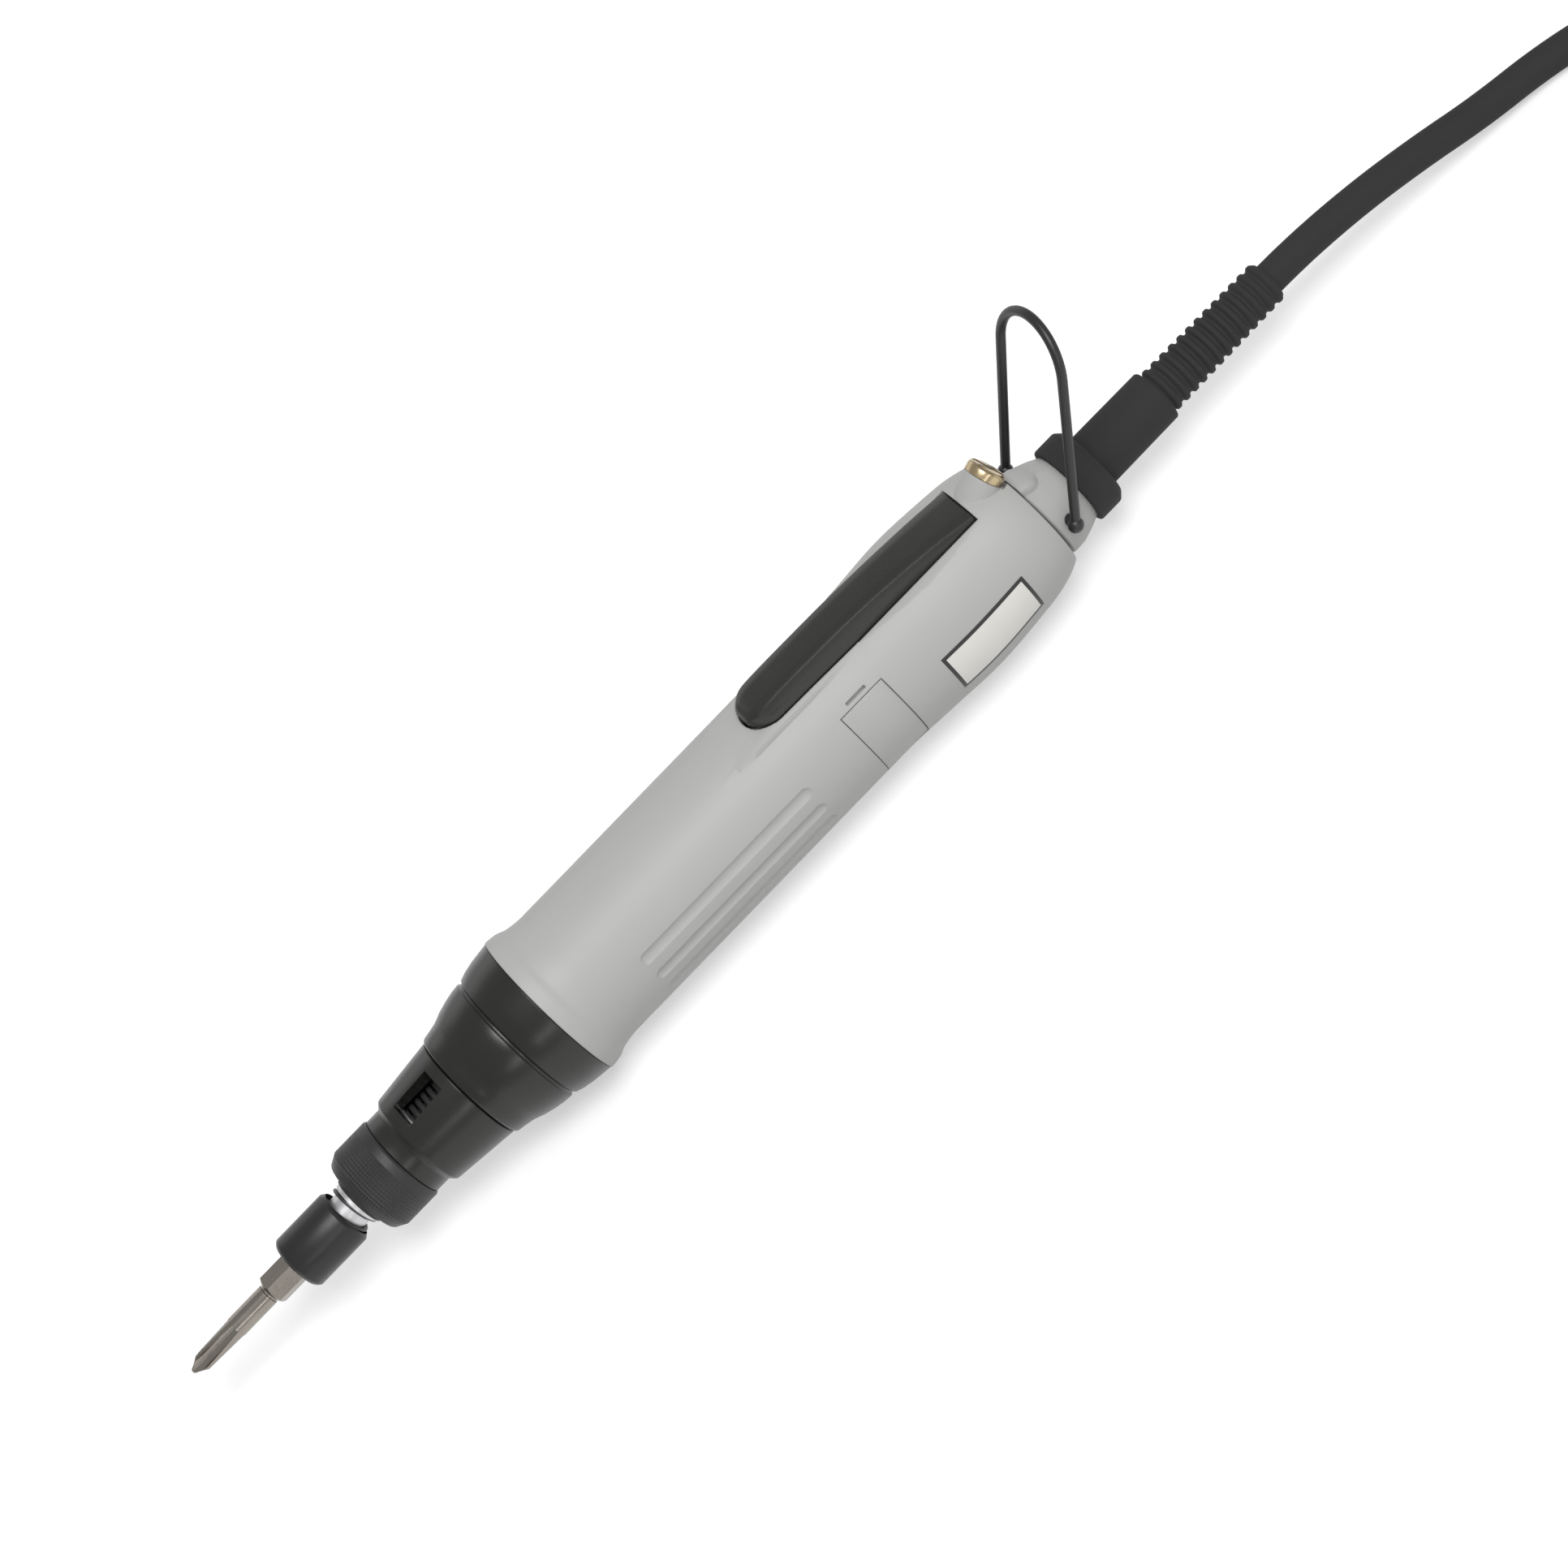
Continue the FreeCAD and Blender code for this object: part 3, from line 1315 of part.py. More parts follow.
def make_plug_pins():
    """Insulating disc with the contact pins."""
    p = plug_start()
    x0 = p.x + plug_neck_length + plug_grip_length
    disc = rod(x0, x0 + plug_disc, plug_shell_r - plug_shell_wall - seat_gap)
    for k in range(plug_pin_count):
        a = 2 * math.pi * k / plug_pin_count
        disc = disc.fuse(rod(x0, x0 + plug_pin_length, plug_pin_r, plug_pin_orbit * math.cos(a),
                             plug_pin_orbit * math.sin(a)))
    return disc.removeSplitter().translated(V(0, p.y, p.z))


def all_pieces():
    """Every piece by node name."""
    shell_left, shell_right = make_shells()
    pieces = {
        "shell_left": shell_left, "shell_right": shell_right, "nose_cone": make_nose_cone(),
        "scale_barrel": make_scale_barrel(), "hub_bush": make_hub_bush(), "ring_gear": make_ring_gear(),
        "motor_plate": make_motor_plate(), "motor_can": make_can(), "magnet_left": make_magnet(-side_angle),
        "magnet_right": make_magnet(side_angle), "motor_front_bush": make_motor_bush(x_can),
        "brush_bell": make_bell(),
        "motor_rear_bush": make_motor_bush(x_bell_end - motor_bush_length), "start_switch": make_switch(),
        "circuit_board": make_board(), "lever_pin": make_lever_pin(), "end_cap": make_end_cap(),
        "cap_screw": make_cap_screw(), "gland_nut": make_gland(), "strain_boot": make_boot(),
        "cord_lead": make_cord_lead(), "cord_hank": make_hank(), "hank_tie": make_tie(),
        "plug_grip": make_plug_grip(), "plug_shell": make_plug_shell(), "plug_pins": make_plug_pins(),
        "spindle": make_spindle(), "bit": make_bit(), "bit_ball": make_bit_ball(),
        "stop_ring": make_stop_ring(),
        "clutch_plate": make_clutch_plate(), "clutch_balls": make_clutch_balls(),
        "planet_carrier": make_carrier(),
        "chuck_sleeve": make_sleeve(), "sleeve_spring": make_sleeve_spring(),
        "torque_ring": make_torque_ring(),
        "front_bush": make_front_bush(), "torque_nut": make_torque_nut(),
        "torque_spring": make_torque_spring(),
        "motor_shaft": make_shaft(), "armature_core": make_armature(), "armature_windings": make_windings(),
        "commutator": make_commutator(), "sun_gear": make_sun(), "start_lever": make_lever(),
        "lever_spring": make_lever_spring(), "switch_plunger": make_plunger(), "bail": make_bail(),
    }
    for name, side in (("left", 1), ("right", -1)):
        pieces["brush_" + name] = make_brush(side)
        pieces["brush_spring_" + name] = make_brush_spring(side)
        pieces["brush_hatch_" + name] = make_hatch(side)
    for number, place in enumerate(planet_places(), 1):
        pieces["planet_gear_%d" % number] = make_planet(place)
    return pieces


os.makedirs("parts", exist_ok=True)
for node, piece in all_pieces().items():
    lifted = piece.translated(V(0, 0, axis_height))
    if not lifted.isValid() or lifted.Volume <= 0:
        print("unsound solid:", node)
    lifted.exportStep("parts/%s.step" % node)
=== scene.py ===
"""Corded lever-start screwdriver: smooth pieces, finishes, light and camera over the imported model."""

import json
import logging
import math
from dataclasses import dataclass
from enum import Enum
from typing import Optional, Sequence, Union

import bmesh
import bpy
from mathutils import Matrix, Vector


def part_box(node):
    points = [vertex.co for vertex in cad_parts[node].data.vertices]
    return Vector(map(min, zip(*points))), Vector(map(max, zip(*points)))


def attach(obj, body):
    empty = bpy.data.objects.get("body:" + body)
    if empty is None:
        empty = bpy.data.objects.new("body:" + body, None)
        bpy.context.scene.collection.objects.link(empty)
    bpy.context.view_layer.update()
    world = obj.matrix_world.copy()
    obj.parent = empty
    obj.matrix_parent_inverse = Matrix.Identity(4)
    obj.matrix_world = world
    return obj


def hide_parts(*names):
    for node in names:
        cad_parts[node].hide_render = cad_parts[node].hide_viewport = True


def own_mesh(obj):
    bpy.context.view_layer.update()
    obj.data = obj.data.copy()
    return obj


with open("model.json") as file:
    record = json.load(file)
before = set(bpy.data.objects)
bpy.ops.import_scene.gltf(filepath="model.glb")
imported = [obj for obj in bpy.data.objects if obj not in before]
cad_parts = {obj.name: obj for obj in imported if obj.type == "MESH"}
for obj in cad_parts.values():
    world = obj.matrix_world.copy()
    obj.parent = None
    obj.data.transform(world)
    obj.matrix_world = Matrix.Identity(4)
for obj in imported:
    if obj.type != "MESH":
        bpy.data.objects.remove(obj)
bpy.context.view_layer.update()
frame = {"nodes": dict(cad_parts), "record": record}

# Stations and sizes are in mm, in a frame that lies on the tool axis
MM = 0.001  # metres in a millimetre
AXIS = 18.05  # height of the tool axis over the floor
TIP = -155.95  # station of the bit's tip
BODY_FRONT = -51.9  # station of the body's front rim
BODY_REAR = 87.45  # station of the end cap's seat
LEVER_FRONT = 16.45  # station of the lever's rounded end
LEVER_HALF = 6.05  # half of the lever's width
BORE_R = 3.65  # radius of the cord's way through the tail
LOG = logging.getLogger("screwdriver")

Piece = bpy.types.Object
Outline = list[tuple[float, float]]
Colour = tuple[float, float, float]


class Body(Enum):
    """Moving groups of the tool that pieces ride on."""

    HOUSING = "housing"
    SPINDLE = "spindle"
    SLEEVE = "sleeve"
    RING = "torque_ring"
    NUT = "torque_nut"
    LEVER = "lever"
    BAIL = "bail"


class Cut(Enum):
    """Ways to combine two solids."""

    REMOVE = "DIFFERENCE"
    ADD = "UNION"
    KEEP = "INTERSECT"


class Lay(Enum):
    """Direction of the fine marks on a surface."""

    NONE = (1.0, 1.0, 1.0)
    TURNED = (1.0, 0.02, 0.02)
    DRAWN = (0.03, 1.0, 1.0)


def at(x: float, y: float, z: float) -> Vector:
    """Return a point given in mm about the tool axis, in metres of the shared frame."""
    return Vector((x, y, z + AXIS)) * MM


def smooth_line(points: Outline, start: float, end: float, parts: int = 6) -> Outline:
    """Run a smooth curve through outline points.

    Args:
        points: Stations and radii that the curve passes.
        start: Slope at the first point.
        end: Slope at the last point.
        parts: Short stretches between two points.

    Returns:
        Stations and radii along the curve.
    """
    slopes = [start]
    for (xa, ra), (_, _), (xc, rc) in zip(points, points[1:], points[2:]):
        slopes.append((rc - ra) / (xc - xa))
    slopes.append(end)
    line = [points[0]]
    for (p, q, s, e) in zip(points, points[1:], slopes, slopes[1:]):
        span = q[0] - p[0]
        for k in range(1, parts + 1):
            t = k / parts
            a, b = 2 * t**3 - 3 * t**2 + 1, t**3 - 2 * t**2 + t
            c, d = 3 * t**2 - 2 * t**3, t**3 - t**2
            line.append((p[0] + span * t, a * p[1] + b * span * s + c * q[1] + d * span * e))
    return line


def mirrored(side: Outline) -> Outline:
    """Return one side of a section followed by its mirror image."""
    return side + [(-y, z) for y, z in reversed(side)]


def linked(name: str, data: bpy.types.ID) -> Piece:
    """Put data into the scene as an object at the origin.

    Args:
        name: Name of the object.
        data: Mesh, curve, light or camera.

    Returns:
        The object.
    """
    made = bpy.data.objects.new(name, data)
    bpy.context.scene.collection.objects.link(made)
    return made


def evaluated(made: Piece) -> bpy.types.Mesh:
    """Return an object's mesh with its modifiers or its bevel applied."""
    graph = bpy.context.evaluated_depsgraph_get()
    return bpy.data.meshes.new_from_object(made.evaluated_get(graph))


def tube(name: str, kind: str, places: Sequence[Vector], radius: float, facets: int,
         steps: int = 12) -> Piece:
    """Lay a round tube along points.

    Args:
        name: Name of the object.
        kind: Kind of spline.
        places: Points of the spline in metres.
        radius: Radius in mm.
        facets: Fineness of the round.
        steps: Fineness along the spline.

    Returns:
        The curve object.
    """
    curve = bpy.data.curves.new(name, "CURVE")
    curve.dimensions = "3D"
    curve.bevel_depth = radius * MM
    curve.bevel_resolution = facets
    curve.resolution_u = steps
    curve.use_fill_caps = True
    line = curve.splines.new(kind)
    line.points.add(len(places) - 1)
    for point, place in zip(line.points, places):
        point.co = (*place, 1.0)
    return linked(name, curve)


class Form:
    """A mesh in the making, shaped by bmesh operators."""

    def __init__(self) -> None:
        """Start with an empty mesh."""
        self.mesh = bmesh.new()

    def spun(self, outline: Outline, steps: int = 128, closed: bool = True, start: float = 0.0,
             sweep: float = 360.0) -> "Form":
        """Turn an outline about the tool axis.

        Args:
            outline: Stations and radii in mm.
            steps: Facets round the turn.
            closed: Whether the outline is a loop.
            start: First angle in degrees, from the lever towards the plate.
            sweep: Angle of the turn in degrees.

        Returns:
            This form.
        """
        verts = [self.mesh.verts.new(at(x, 0, r)) for x, r in outline]
        pairs = list(zip(verts, verts[1:])) + ([(verts[-1], verts[0])] if closed else [])
        edges = [self.mesh.edges.new(pair) for pair in pairs]
        bmesh.ops.rotate(self.mesh, verts=verts, cent=at(0, 0, 0),
                         matrix=Matrix.Rotation(math.radians(start), 3, "X"))
        full = sweep >= 360
        bmesh.ops.spin(self.mesh, geom=verts + edges, cent=at(0, 0, 0), axis=(1, 0, 0),
                       angle=math.radians(sweep), steps=steps, use_merge=full, use_duplicate=False)
        if closed and not full:
            rim = [e for e in self.mesh.edges if e.is_boundary]
            bmesh.ops.holes_fill(self.mesh, edges=rim)
        return self.tidied()

    def lofted(self, loops: Sequence[Sequence[Vector]]) -> "Form":
        """Join closed loops into one solid and close its ends.

        Args:
            loops: Points of each loop in metres, of equal count.

        Returns:
            This form.
        """
        rings = []
        for points in loops:
            verts = [self.mesh.verts.new(p) for p in points]
            rings.append([self.mesh.edges.new(pair) for pair in zip(verts, verts[1:] + verts[:1])])
        for first, second in zip(rings, rings[1:]):
            bmesh.ops.bridge_loops(self.mesh, edges=first + second)
        for ring in (rings[0], rings[-1]):
            bmesh.ops.contextual_create(self.mesh, geom=ring)
        return self.tidied()

    def bar(self, radius: float, start: Vector, end: Vector, steps: int = 48) -> "Form":
        """Add a round bar between two points.

        Args:
            radius: Radius in mm.
            start: First end in metres.
            end: Last end in metres.
            steps: Facets round the bar.

        Returns:
            This form.
        """
        along = end - start
        turn = Vector((0, 0, 1)).rotation_difference(along).to_matrix().to_4x4()
        place = Matrix.Translation((start + end) / 2) @ turn
        bmesh.ops.create_cone(self.mesh, cap_ends=True, segments=steps, radius1=radius * MM,
                              radius2=radius * MM, depth=along.length, matrix=place)
        return self

    def ball(self, radius: float, centre: Vector, steps: int = 32) -> "Form":
        """Add a ball, radius in mm and centre in metres."""
        bmesh.ops.create_uvsphere(self.mesh, u_segments=steps, v_segments=steps // 2, radius=radius * MM,
                                  matrix=Matrix.Translation(centre))
        return self

    def block(self, low: tuple[float, float, float], high: tuple[float, float, float]) -> "Form":
        """Add a box.

        Args:
            low: Lowest corner in mm about the tool axis.
            high: Highest corner.

        Returns:
            This form.
        """
        a, b = at(*low), at(*high)
        size = Matrix.Diagonal((*(b - a), 1.0))
        bmesh.ops.create_cube(self.mesh, size=1.0, matrix=Matrix.Translation((a + b) / 2) @ size)
        return self

    def coiled(self, start: Vector, run: Vector, side: Vector, wire: float, turns: float) -> "Form":
        """Add a coil of round wire.

        Args:
            start: First point of the coil's axis, in metres.
            run: The way to the axis's last point, in metres.
            side: The way from the axis to the wire's first point, in metres.
            wire: Radius of the wire in mm.
            turns: Number of turns.

        Returns:
            This form.
        """
        turn = Vector((0, 0, 1)).rotation_difference(run.cross(side)).to_matrix().to_4x4()
        made = bmesh.ops.create_circle(self.mesh, cap_ends=True, segments=16, radius=wire * MM,
                                       matrix=Matrix.Translation(start + side) @ turn)
        faces = list({face for vert in made["verts"] for face in vert.link_faces})
        steps = round(48 * turns)
        bmesh.ops.spin(self.mesh, geom=faces, cent=start, axis=run.normalized(), angle=2 * math.pi * turns,
                       steps=steps, dvec=run / steps, use_merge=False, use_duplicate=False)
        return self.tidied()

    def rolled(self, angle: float) -> "Form":
        """Turn the whole form about the tool axis, from the lever towards the plate."""
        bmesh.ops.rotate(self.mesh, verts=self.mesh.verts, cent=at(0, 0, 0),
                         matrix=Matrix.Rotation(math.radians(angle), 3, "X"))
        return self

    def bevelled(self, width: float, segments: int = 3, least: float = 30.0) -> "Form":
        """Round every sharp edge.

        Args:
            width: Width of the rounding in mm.
            segments: Facets across it.
            least: Angle in degrees from which an edge is sharp.

        Returns:
            This form.
        """
        sharp = [e for e in self.mesh.edges
                 if len(e.link_faces) == 2 and e.calc_face_angle(0) > math.radians(least)]
        bmesh.ops.bevel(self.mesh, geom=sharp, offset=width * MM, offset_type="OFFSET", affect="EDGES",
                        segments=segments, profile=0.5, material=-1, clamp_overlap=True)
        return self

    def tidied(self) -> "Form":
        """Merge doubled points and turn the faces outwards.

        Returns:
            This form.
        """
        bmesh.ops.remove_doubles(self.mesh, verts=self.mesh.verts, dist=0.002 * MM)
        bmesh.ops.recalc_face_normals(self.mesh, faces=self.mesh.faces)
        return self

    def piece(self, name: str) -> Piece:
        """Use up the form.

        Args:
            name: Name of the piece.

        Returns:
            The piece, an object at the origin.
        """
        data = bpy.data.meshes.new(name)
        self.mesh.to_mesh(data)
        self.mesh.free()
        return linked(name, data)


def combined(target: Piece, others: Sequence[Piece], way: Cut) -> Piece:
    """Combine a solid with other solids, which are used up.

    Args:
        target: Solid that is kept.
        others: Solids that are added to it or taken from it.
        way: How they are combined.

    Returns:
        The target with its new mesh.
    """
    for other in others:
        step = target.modifiers.new("combine", "BOOLEAN")
        step.operation = way.value
        step.solver = "MANIFOLD"
        step.object = other
    data = evaluated(target)
    target.modifiers.clear()
    target.data = data
    for other in others:
        bpy.data.objects.remove(other)
    return target


class Value:
    """A shader value; arithmetic on values adds Math nodes."""

    def __init__(self, graph: "Graph", socket: bpy.types.NodeSocket) -> None:
        """Wrap a socket of a graph."""
        self.graph, self.socket = graph, socket

    def _math(self, operation: str, first: "Number", second: "Number" = 0.0) -> "Value":
        """Return the result of a Math node."""
        node = self.graph.node("ShaderNodeMath", {"operation": operation}, {0: first, 1: second})
        return Value(self.graph, node.outputs[0])

    def __add__(self, other: "Number") -> "Value":
        """Add."""
        return self._math("ADD", self, other)

    __radd__ = __add__

    def __sub__(self, other: "Number") -> "Value":
        """Subtract."""
        return self._math("SUBTRACT", self, other)

    def __rsub__(self, other: "Number") -> "Value":
        """Subtract from a number."""
        return self._math("SUBTRACT", other, self)

    def __mul__(self, other: "Number") -> "Value":
        """Multiply."""
        return self._math("MULTIPLY", self, other)

    __rmul__ = __mul__

    def sine(self) -> "Value":
        """Return the sine."""
        return self._math("SINE", self)

    def angle_to(self, other: "Number") -> "Value":
        """Return the angle of the point (other, self)."""
        return self._math("ARCTAN2", self, other)

    def above(self, limit: float) -> "Value":
        """Return 1 where the value is over a limit."""
        return self._math("GREATER_THAN", self, limit)


Number = Union[Value, float]


class Graph:
    """The node tree of one material or world."""

    def __init__(self, owner: Union[bpy.types.Material, bpy.types.World]) -> None:
        """Start with an empty tree.

        Args:
            owner: Material or world that the tree belongs to.
        """
        owner.use_nodes = True
        self.tree = owner.node_tree
        self.tree.nodes.clear()

    def node(self, kind: str, settings: Optional[dict] = None,
             inputs: Optional[dict] = None) -> bpy.types.Node:
        """Add a node.

        Args:
            kind: Type of the node.
            settings: Properties of the node.
            inputs: Values, sockets or plain numbers for its sockets.

        Returns:
            The node.
        """
        made = self.tree.nodes.new(kind)
        for key, value in (settings or {}).items():
            setattr(made, key, value)
        for key, value in (inputs or {}).items():
            socket = made.inputs[key]
            source = value.socket if isinstance(value, Value) else value
            if isinstance(source, bpy.types.NodeSocket):
                self.tree.links.new(source, socket)
            else:
                socket.default_value = value
        return made

    def place(self) -> bpy.types.NodeSocket:
        """Return the object coordinates."""
        return self.node("ShaderNodeTexCoord").outputs["Object"]

    def noise(self, scale: float, stretch: Sequence[float] = (1, 1, 1), detail: float = 3.0) -> Value:
        """Add a noise between 0 and 1.

        Args:
            scale: Features per metre.
            stretch: Scale of the features along each axis.
            detail: Finer layers.

        Returns:
            The noise.
        """
        mapped = self.node("ShaderNodeMapping", {}, {"Vector": self.place(), "Scale": tuple(stretch)})
        made = self.node("ShaderNodeTexNoise", {},
                         {"Vector": mapped.outputs[0], "Scale": scale, "Detail": detail})
        return Value(self, made.outputs["Fac"])

    def blend(self, share: Number, first: Colour, second: Colour) -> bpy.types.NodeSocket:
        """Return a colour between two colours."""
        made = self.node("ShaderNodeMix", {"data_type": "RGBA"},
                         {0: share, 6: (*first, 1.0), 7: (*second, 1.0)})
        return made.outputs[2]


def shade(colour: Colour, factor: float) -> Colour:
    """Return a lighter or darker colour."""
    return tuple(min(1.0, c * factor) for c in colour)


# Shares of broad patches and fine grain in colour, roughness and relief
PATCH_SHARE, GRAIN_SHARE = 0.7, 0.3
ROUGH_PATCH, ROUGH_GRAIN = 0.10, 0.08
RIDGE_GRAIN = 0.1
COAT_ROUGHNESS = 0.3


@dataclass(frozen=True)
class Knurl:
    """Crossed ridges pressed into a ring: count around and ridges per mm along."""

    count: int = 46
    per_mm: float = 4.2
    start: float = -104.6
    end: float = -97.2


@dataclass(frozen=True)
class Finish:
    """A surface finish with its small marks.

    Sizes of the marks are features per metre; heights are in mm.
    """

    name: str
    colour: Colour
    roughness: float
    metallic: float = 0.0
    spread: float = 0.08
    patches: float = 90.0
    grain: float = 2600.0
    height: float = 0.02
    strength: float = 0.25
    lay: Lay = Lay.NONE
    edge: float = 0.0
    coat: float = 0.0
    knurl: Optional[Knurl] = None

    def material(self) -> bpy.types.Material:
        """Make the material on first use.

        Returns:
            The material.
        """
        ready = bpy.data.materials.get(self.name)
        if ready:
            return ready
        made = bpy.data.materials.new(self.name)
        graph = Graph(made)
        patch = graph.noise(self.patches)
        fine = graph.noise(self.grain, self.lay.value, 4.0)
        relief = fine
        if self.knurl:
            relief = self._ridges(graph) + fine * RIDGE_GRAIN
        share = patch * PATCH_SHARE + fine * GRAIN_SHARE
        tone = graph.blend(share, shade(self.colour, 1 - self.spread), shade(self.colour, 1 + self.spread))
        rough = patch * ROUGH_PATCH + fine * ROUGH_GRAIN + (self.roughness - (ROUGH_PATCH + ROUGH_GRAIN) / 2)
        bump = {"Height": relief, "Strength": self.strength, "Distance": self.height * MM}
        if self.edge:
            round_off = graph.node("ShaderNodeBevel", {"samples": 4}, {"Radius": self.edge * MM})
            bump["Normal"] = round_off.outputs[0]
        normal = graph.node("ShaderNodeBump", {}, bump).outputs[0]
        shader = graph.node("ShaderNodeBsdfPrincipled", {}, {
            "Base Color": tone, "Roughness": rough, "Metallic": self.metallic, "Normal": normal,
            "Coat Weight": self.coat, "Coat Roughness": COAT_ROUGHNESS})
        graph.node("ShaderNodeOutputMaterial", {}, {"Surface": shader.outputs[0]})
        return made

    def _ridges(self, graph: Graph) -> Value:
        """Add the crossed ridges of the knurled band.

        Args:
            graph: Node tree that takes them.

        Returns:
            Their height from 0 to 1, and 0 outside the band.
        """
        parts = graph.node("ShaderNodeSeparateXYZ", {}, {0: graph.place()})
        x, y, z = (Value(graph, parts.outputs[k]) for k in range(3))
        turn = y.angle_to(z - AXIS * MM) * float(self.knurl.count)
        run = x * (self.knurl.per_mm / MM)
        band = x.above(self.knurl.start * MM) * (1 - x.above(self.knurl.end * MM))
        return ((turn + run).sine() * (turn - run).sine() + 1.0) * 0.5 * band


GREY = Finish("grey_moulding", (0.412, 0.414, 0.406), 0.50, spread=0.03, grain=3200, height=0.02,
              strength=0.18, edge=0.45)
BLACK = Finish("black_moulding", (0.013, 0.013, 0.0115), 0.30, spread=0.12, height=0.01,
               strength=0.05, edge=0.3)
LEVER_BLACK = Finish("lever_moulding", (0.020, 0.020, 0.0172), 0.28, spread=0.12, height=0.01,
                     strength=0.02, edge=0.4)
BLACKENED = Finish("blackened_steel", (0.020, 0.020, 0.020), 0.36, 0.2, spread=0.15, lay=Lay.TURNED,
                   height=0.01)
KNURLED = Finish("knurled_ring", (0.026, 0.026, 0.026), 0.45, 0.2, spread=0.15, height=0.28,
                 strength=0.9, knurl=Knurl())
BRIGHT = Finish("bright_steel", (0.66, 0.66, 0.65), 0.26, 1.0, spread=0.06, lay=Lay.TURNED, height=0.006)
BIT_STEEL = Finish("bit_steel", (0.31, 0.285, 0.252), 0.28, 1.0, spread=0.12, patches=220,
                   lay=Lay.DRAWN, height=0.003)
DARK_WIRE = Finish("dark_wire", (0.10, 0.10, 0.10), 0.40, 1.0, spread=0.15, height=0.008)
PHOSPHATED = Finish("phosphated_wire", (0.036, 0.036, 0.035), 0.55, spread=0.15, height=0.01)
BRASS = Finish("brass_head", (0.50, 0.40, 0.25), 0.26, 1.0, spread=0.10, patches=300,
               lay=Lay.TURNED, height=0.01)
RUBBER = Finish("black_rubber", (0.022, 0.022, 0.021), 0.58, spread=0.18, grain=1800, height=0.05,
                strength=0.3)
BAIL_BLACK = Finish("bail_coating", (0.016, 0.016, 0.016), 0.38, spread=0.15, height=0.01)
PLATE_WHITE = Finish("plate_face", (0.72, 0.705, 0.67), 0.36, spread=0.04, patches=200, height=0.004)
PLATE_BLACK = Finish("plate_border", (0.018, 0.018, 0.018), 0.40, spread=0.1, height=0.004)
GEAR = Finish("gear_steel", (0.45, 0.45, 0.46), 0.32, 1.0, lay=Lay.TURNED, height=0.006)
CAN = Finish("motor_steel", (0.50, 0.50, 0.52), 0.36, 1.0, patches=160, height=0.006)
MAGNET = Finish("ferrite", (0.08, 0.08, 0.085), 0.70, spread=0.2, height=0.03)
COPPER = Finish("copper_wire", (0.72, 0.38, 0.22), 0.34, 1.0, lay=Lay.DRAWN, height=0.05)
BRONZE = Finish("sintered_bronze", (0.62, 0.44, 0.24), 0.48, 1.0, spread=0.15, height=0.02)
CARBON = Finish("pressed_carbon", (0.05, 0.05, 0.055), 0.60, spread=0.2, height=0.03)
ALLOY = Finish("light_alloy", (0.66, 0.66, 0.68), 0.34, 1.0, lay=Lay.TURNED, height=0.008)
BROWN = Finish("brown_moulding", (0.16, 0.13, 0.10), 0.55, height=0.02)
BOARD = Finish("board_lacquer", (0.05, 0.22, 0.10), 0.40, spread=0.12, height=0.01, coat=0.3)
SWITCH = Finish("switch_moulding", (0.03, 0.03, 0.035), 0.35, spread=0.1, height=0.01)
NODE_FINISHES = {
    "grey_plastic": GREY, "black_plastic": BLACK, "black_steel": BLACKENED, "bright_steel": BRIGHT,
    "spring_steel": DARK_WIRE, "gear_steel": GEAR, "motor_steel": CAN, "magnet": MAGNET, "copper": COPPER,
    "bronze": BRONZE, "carbon": CARBON, "light_alloy": ALLOY, "bell_plastic": BROWN, "board": BOARD,
    "switch_plastic": SWITCH, "brass_screw": BRASS, "pin_brass": BRASS, "black_rubber": RUBBER,
}


def dressed(made: Piece, body: Body, finish: Finish, nodes: Sequence[str] = (),
            sharp: float = 32.0) -> Piece:
    """Give a piece its finish, its body and the nodes that it stands for.

    Args:
        made: The piece.
        body: Moving group that it rides on.
        finish: Its surface.
        nodes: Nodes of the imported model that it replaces.
        sharp: Angle over which an edge stays sharp, in degrees.

    Returns:
        The piece.
    """
    if made.type == "MESH":
        made.data.polygons.foreach_set("use_smooth", [True] * len(made.data.polygons))
        made.data.set_sharp_from_angle(angle=math.radians(sharp))
    made.data.materials.clear()
    made.data.materials.append(finish.material())
    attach(made, body.value)
    if nodes:
        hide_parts(*nodes)
    LOG.info("piece %s on %s", made.name, body.value)
    return made


@dataclass(frozen=True)
class ScrewLine:
    """Place and tilt of the screw in the body's rear shoulder."""

    x: float = 85.0
    z: float = 16.2
    tilt: float = 22.0

    def along(self, distance: float) -> tuple[float, float, float]:
        """Return a point on the screw's axis, a distance outwards from its seat."""
        turn = math.radians(self.tilt)
        return self.x + distance * math.cos(turn), 0.0, self.z + distance * math.sin(turn)


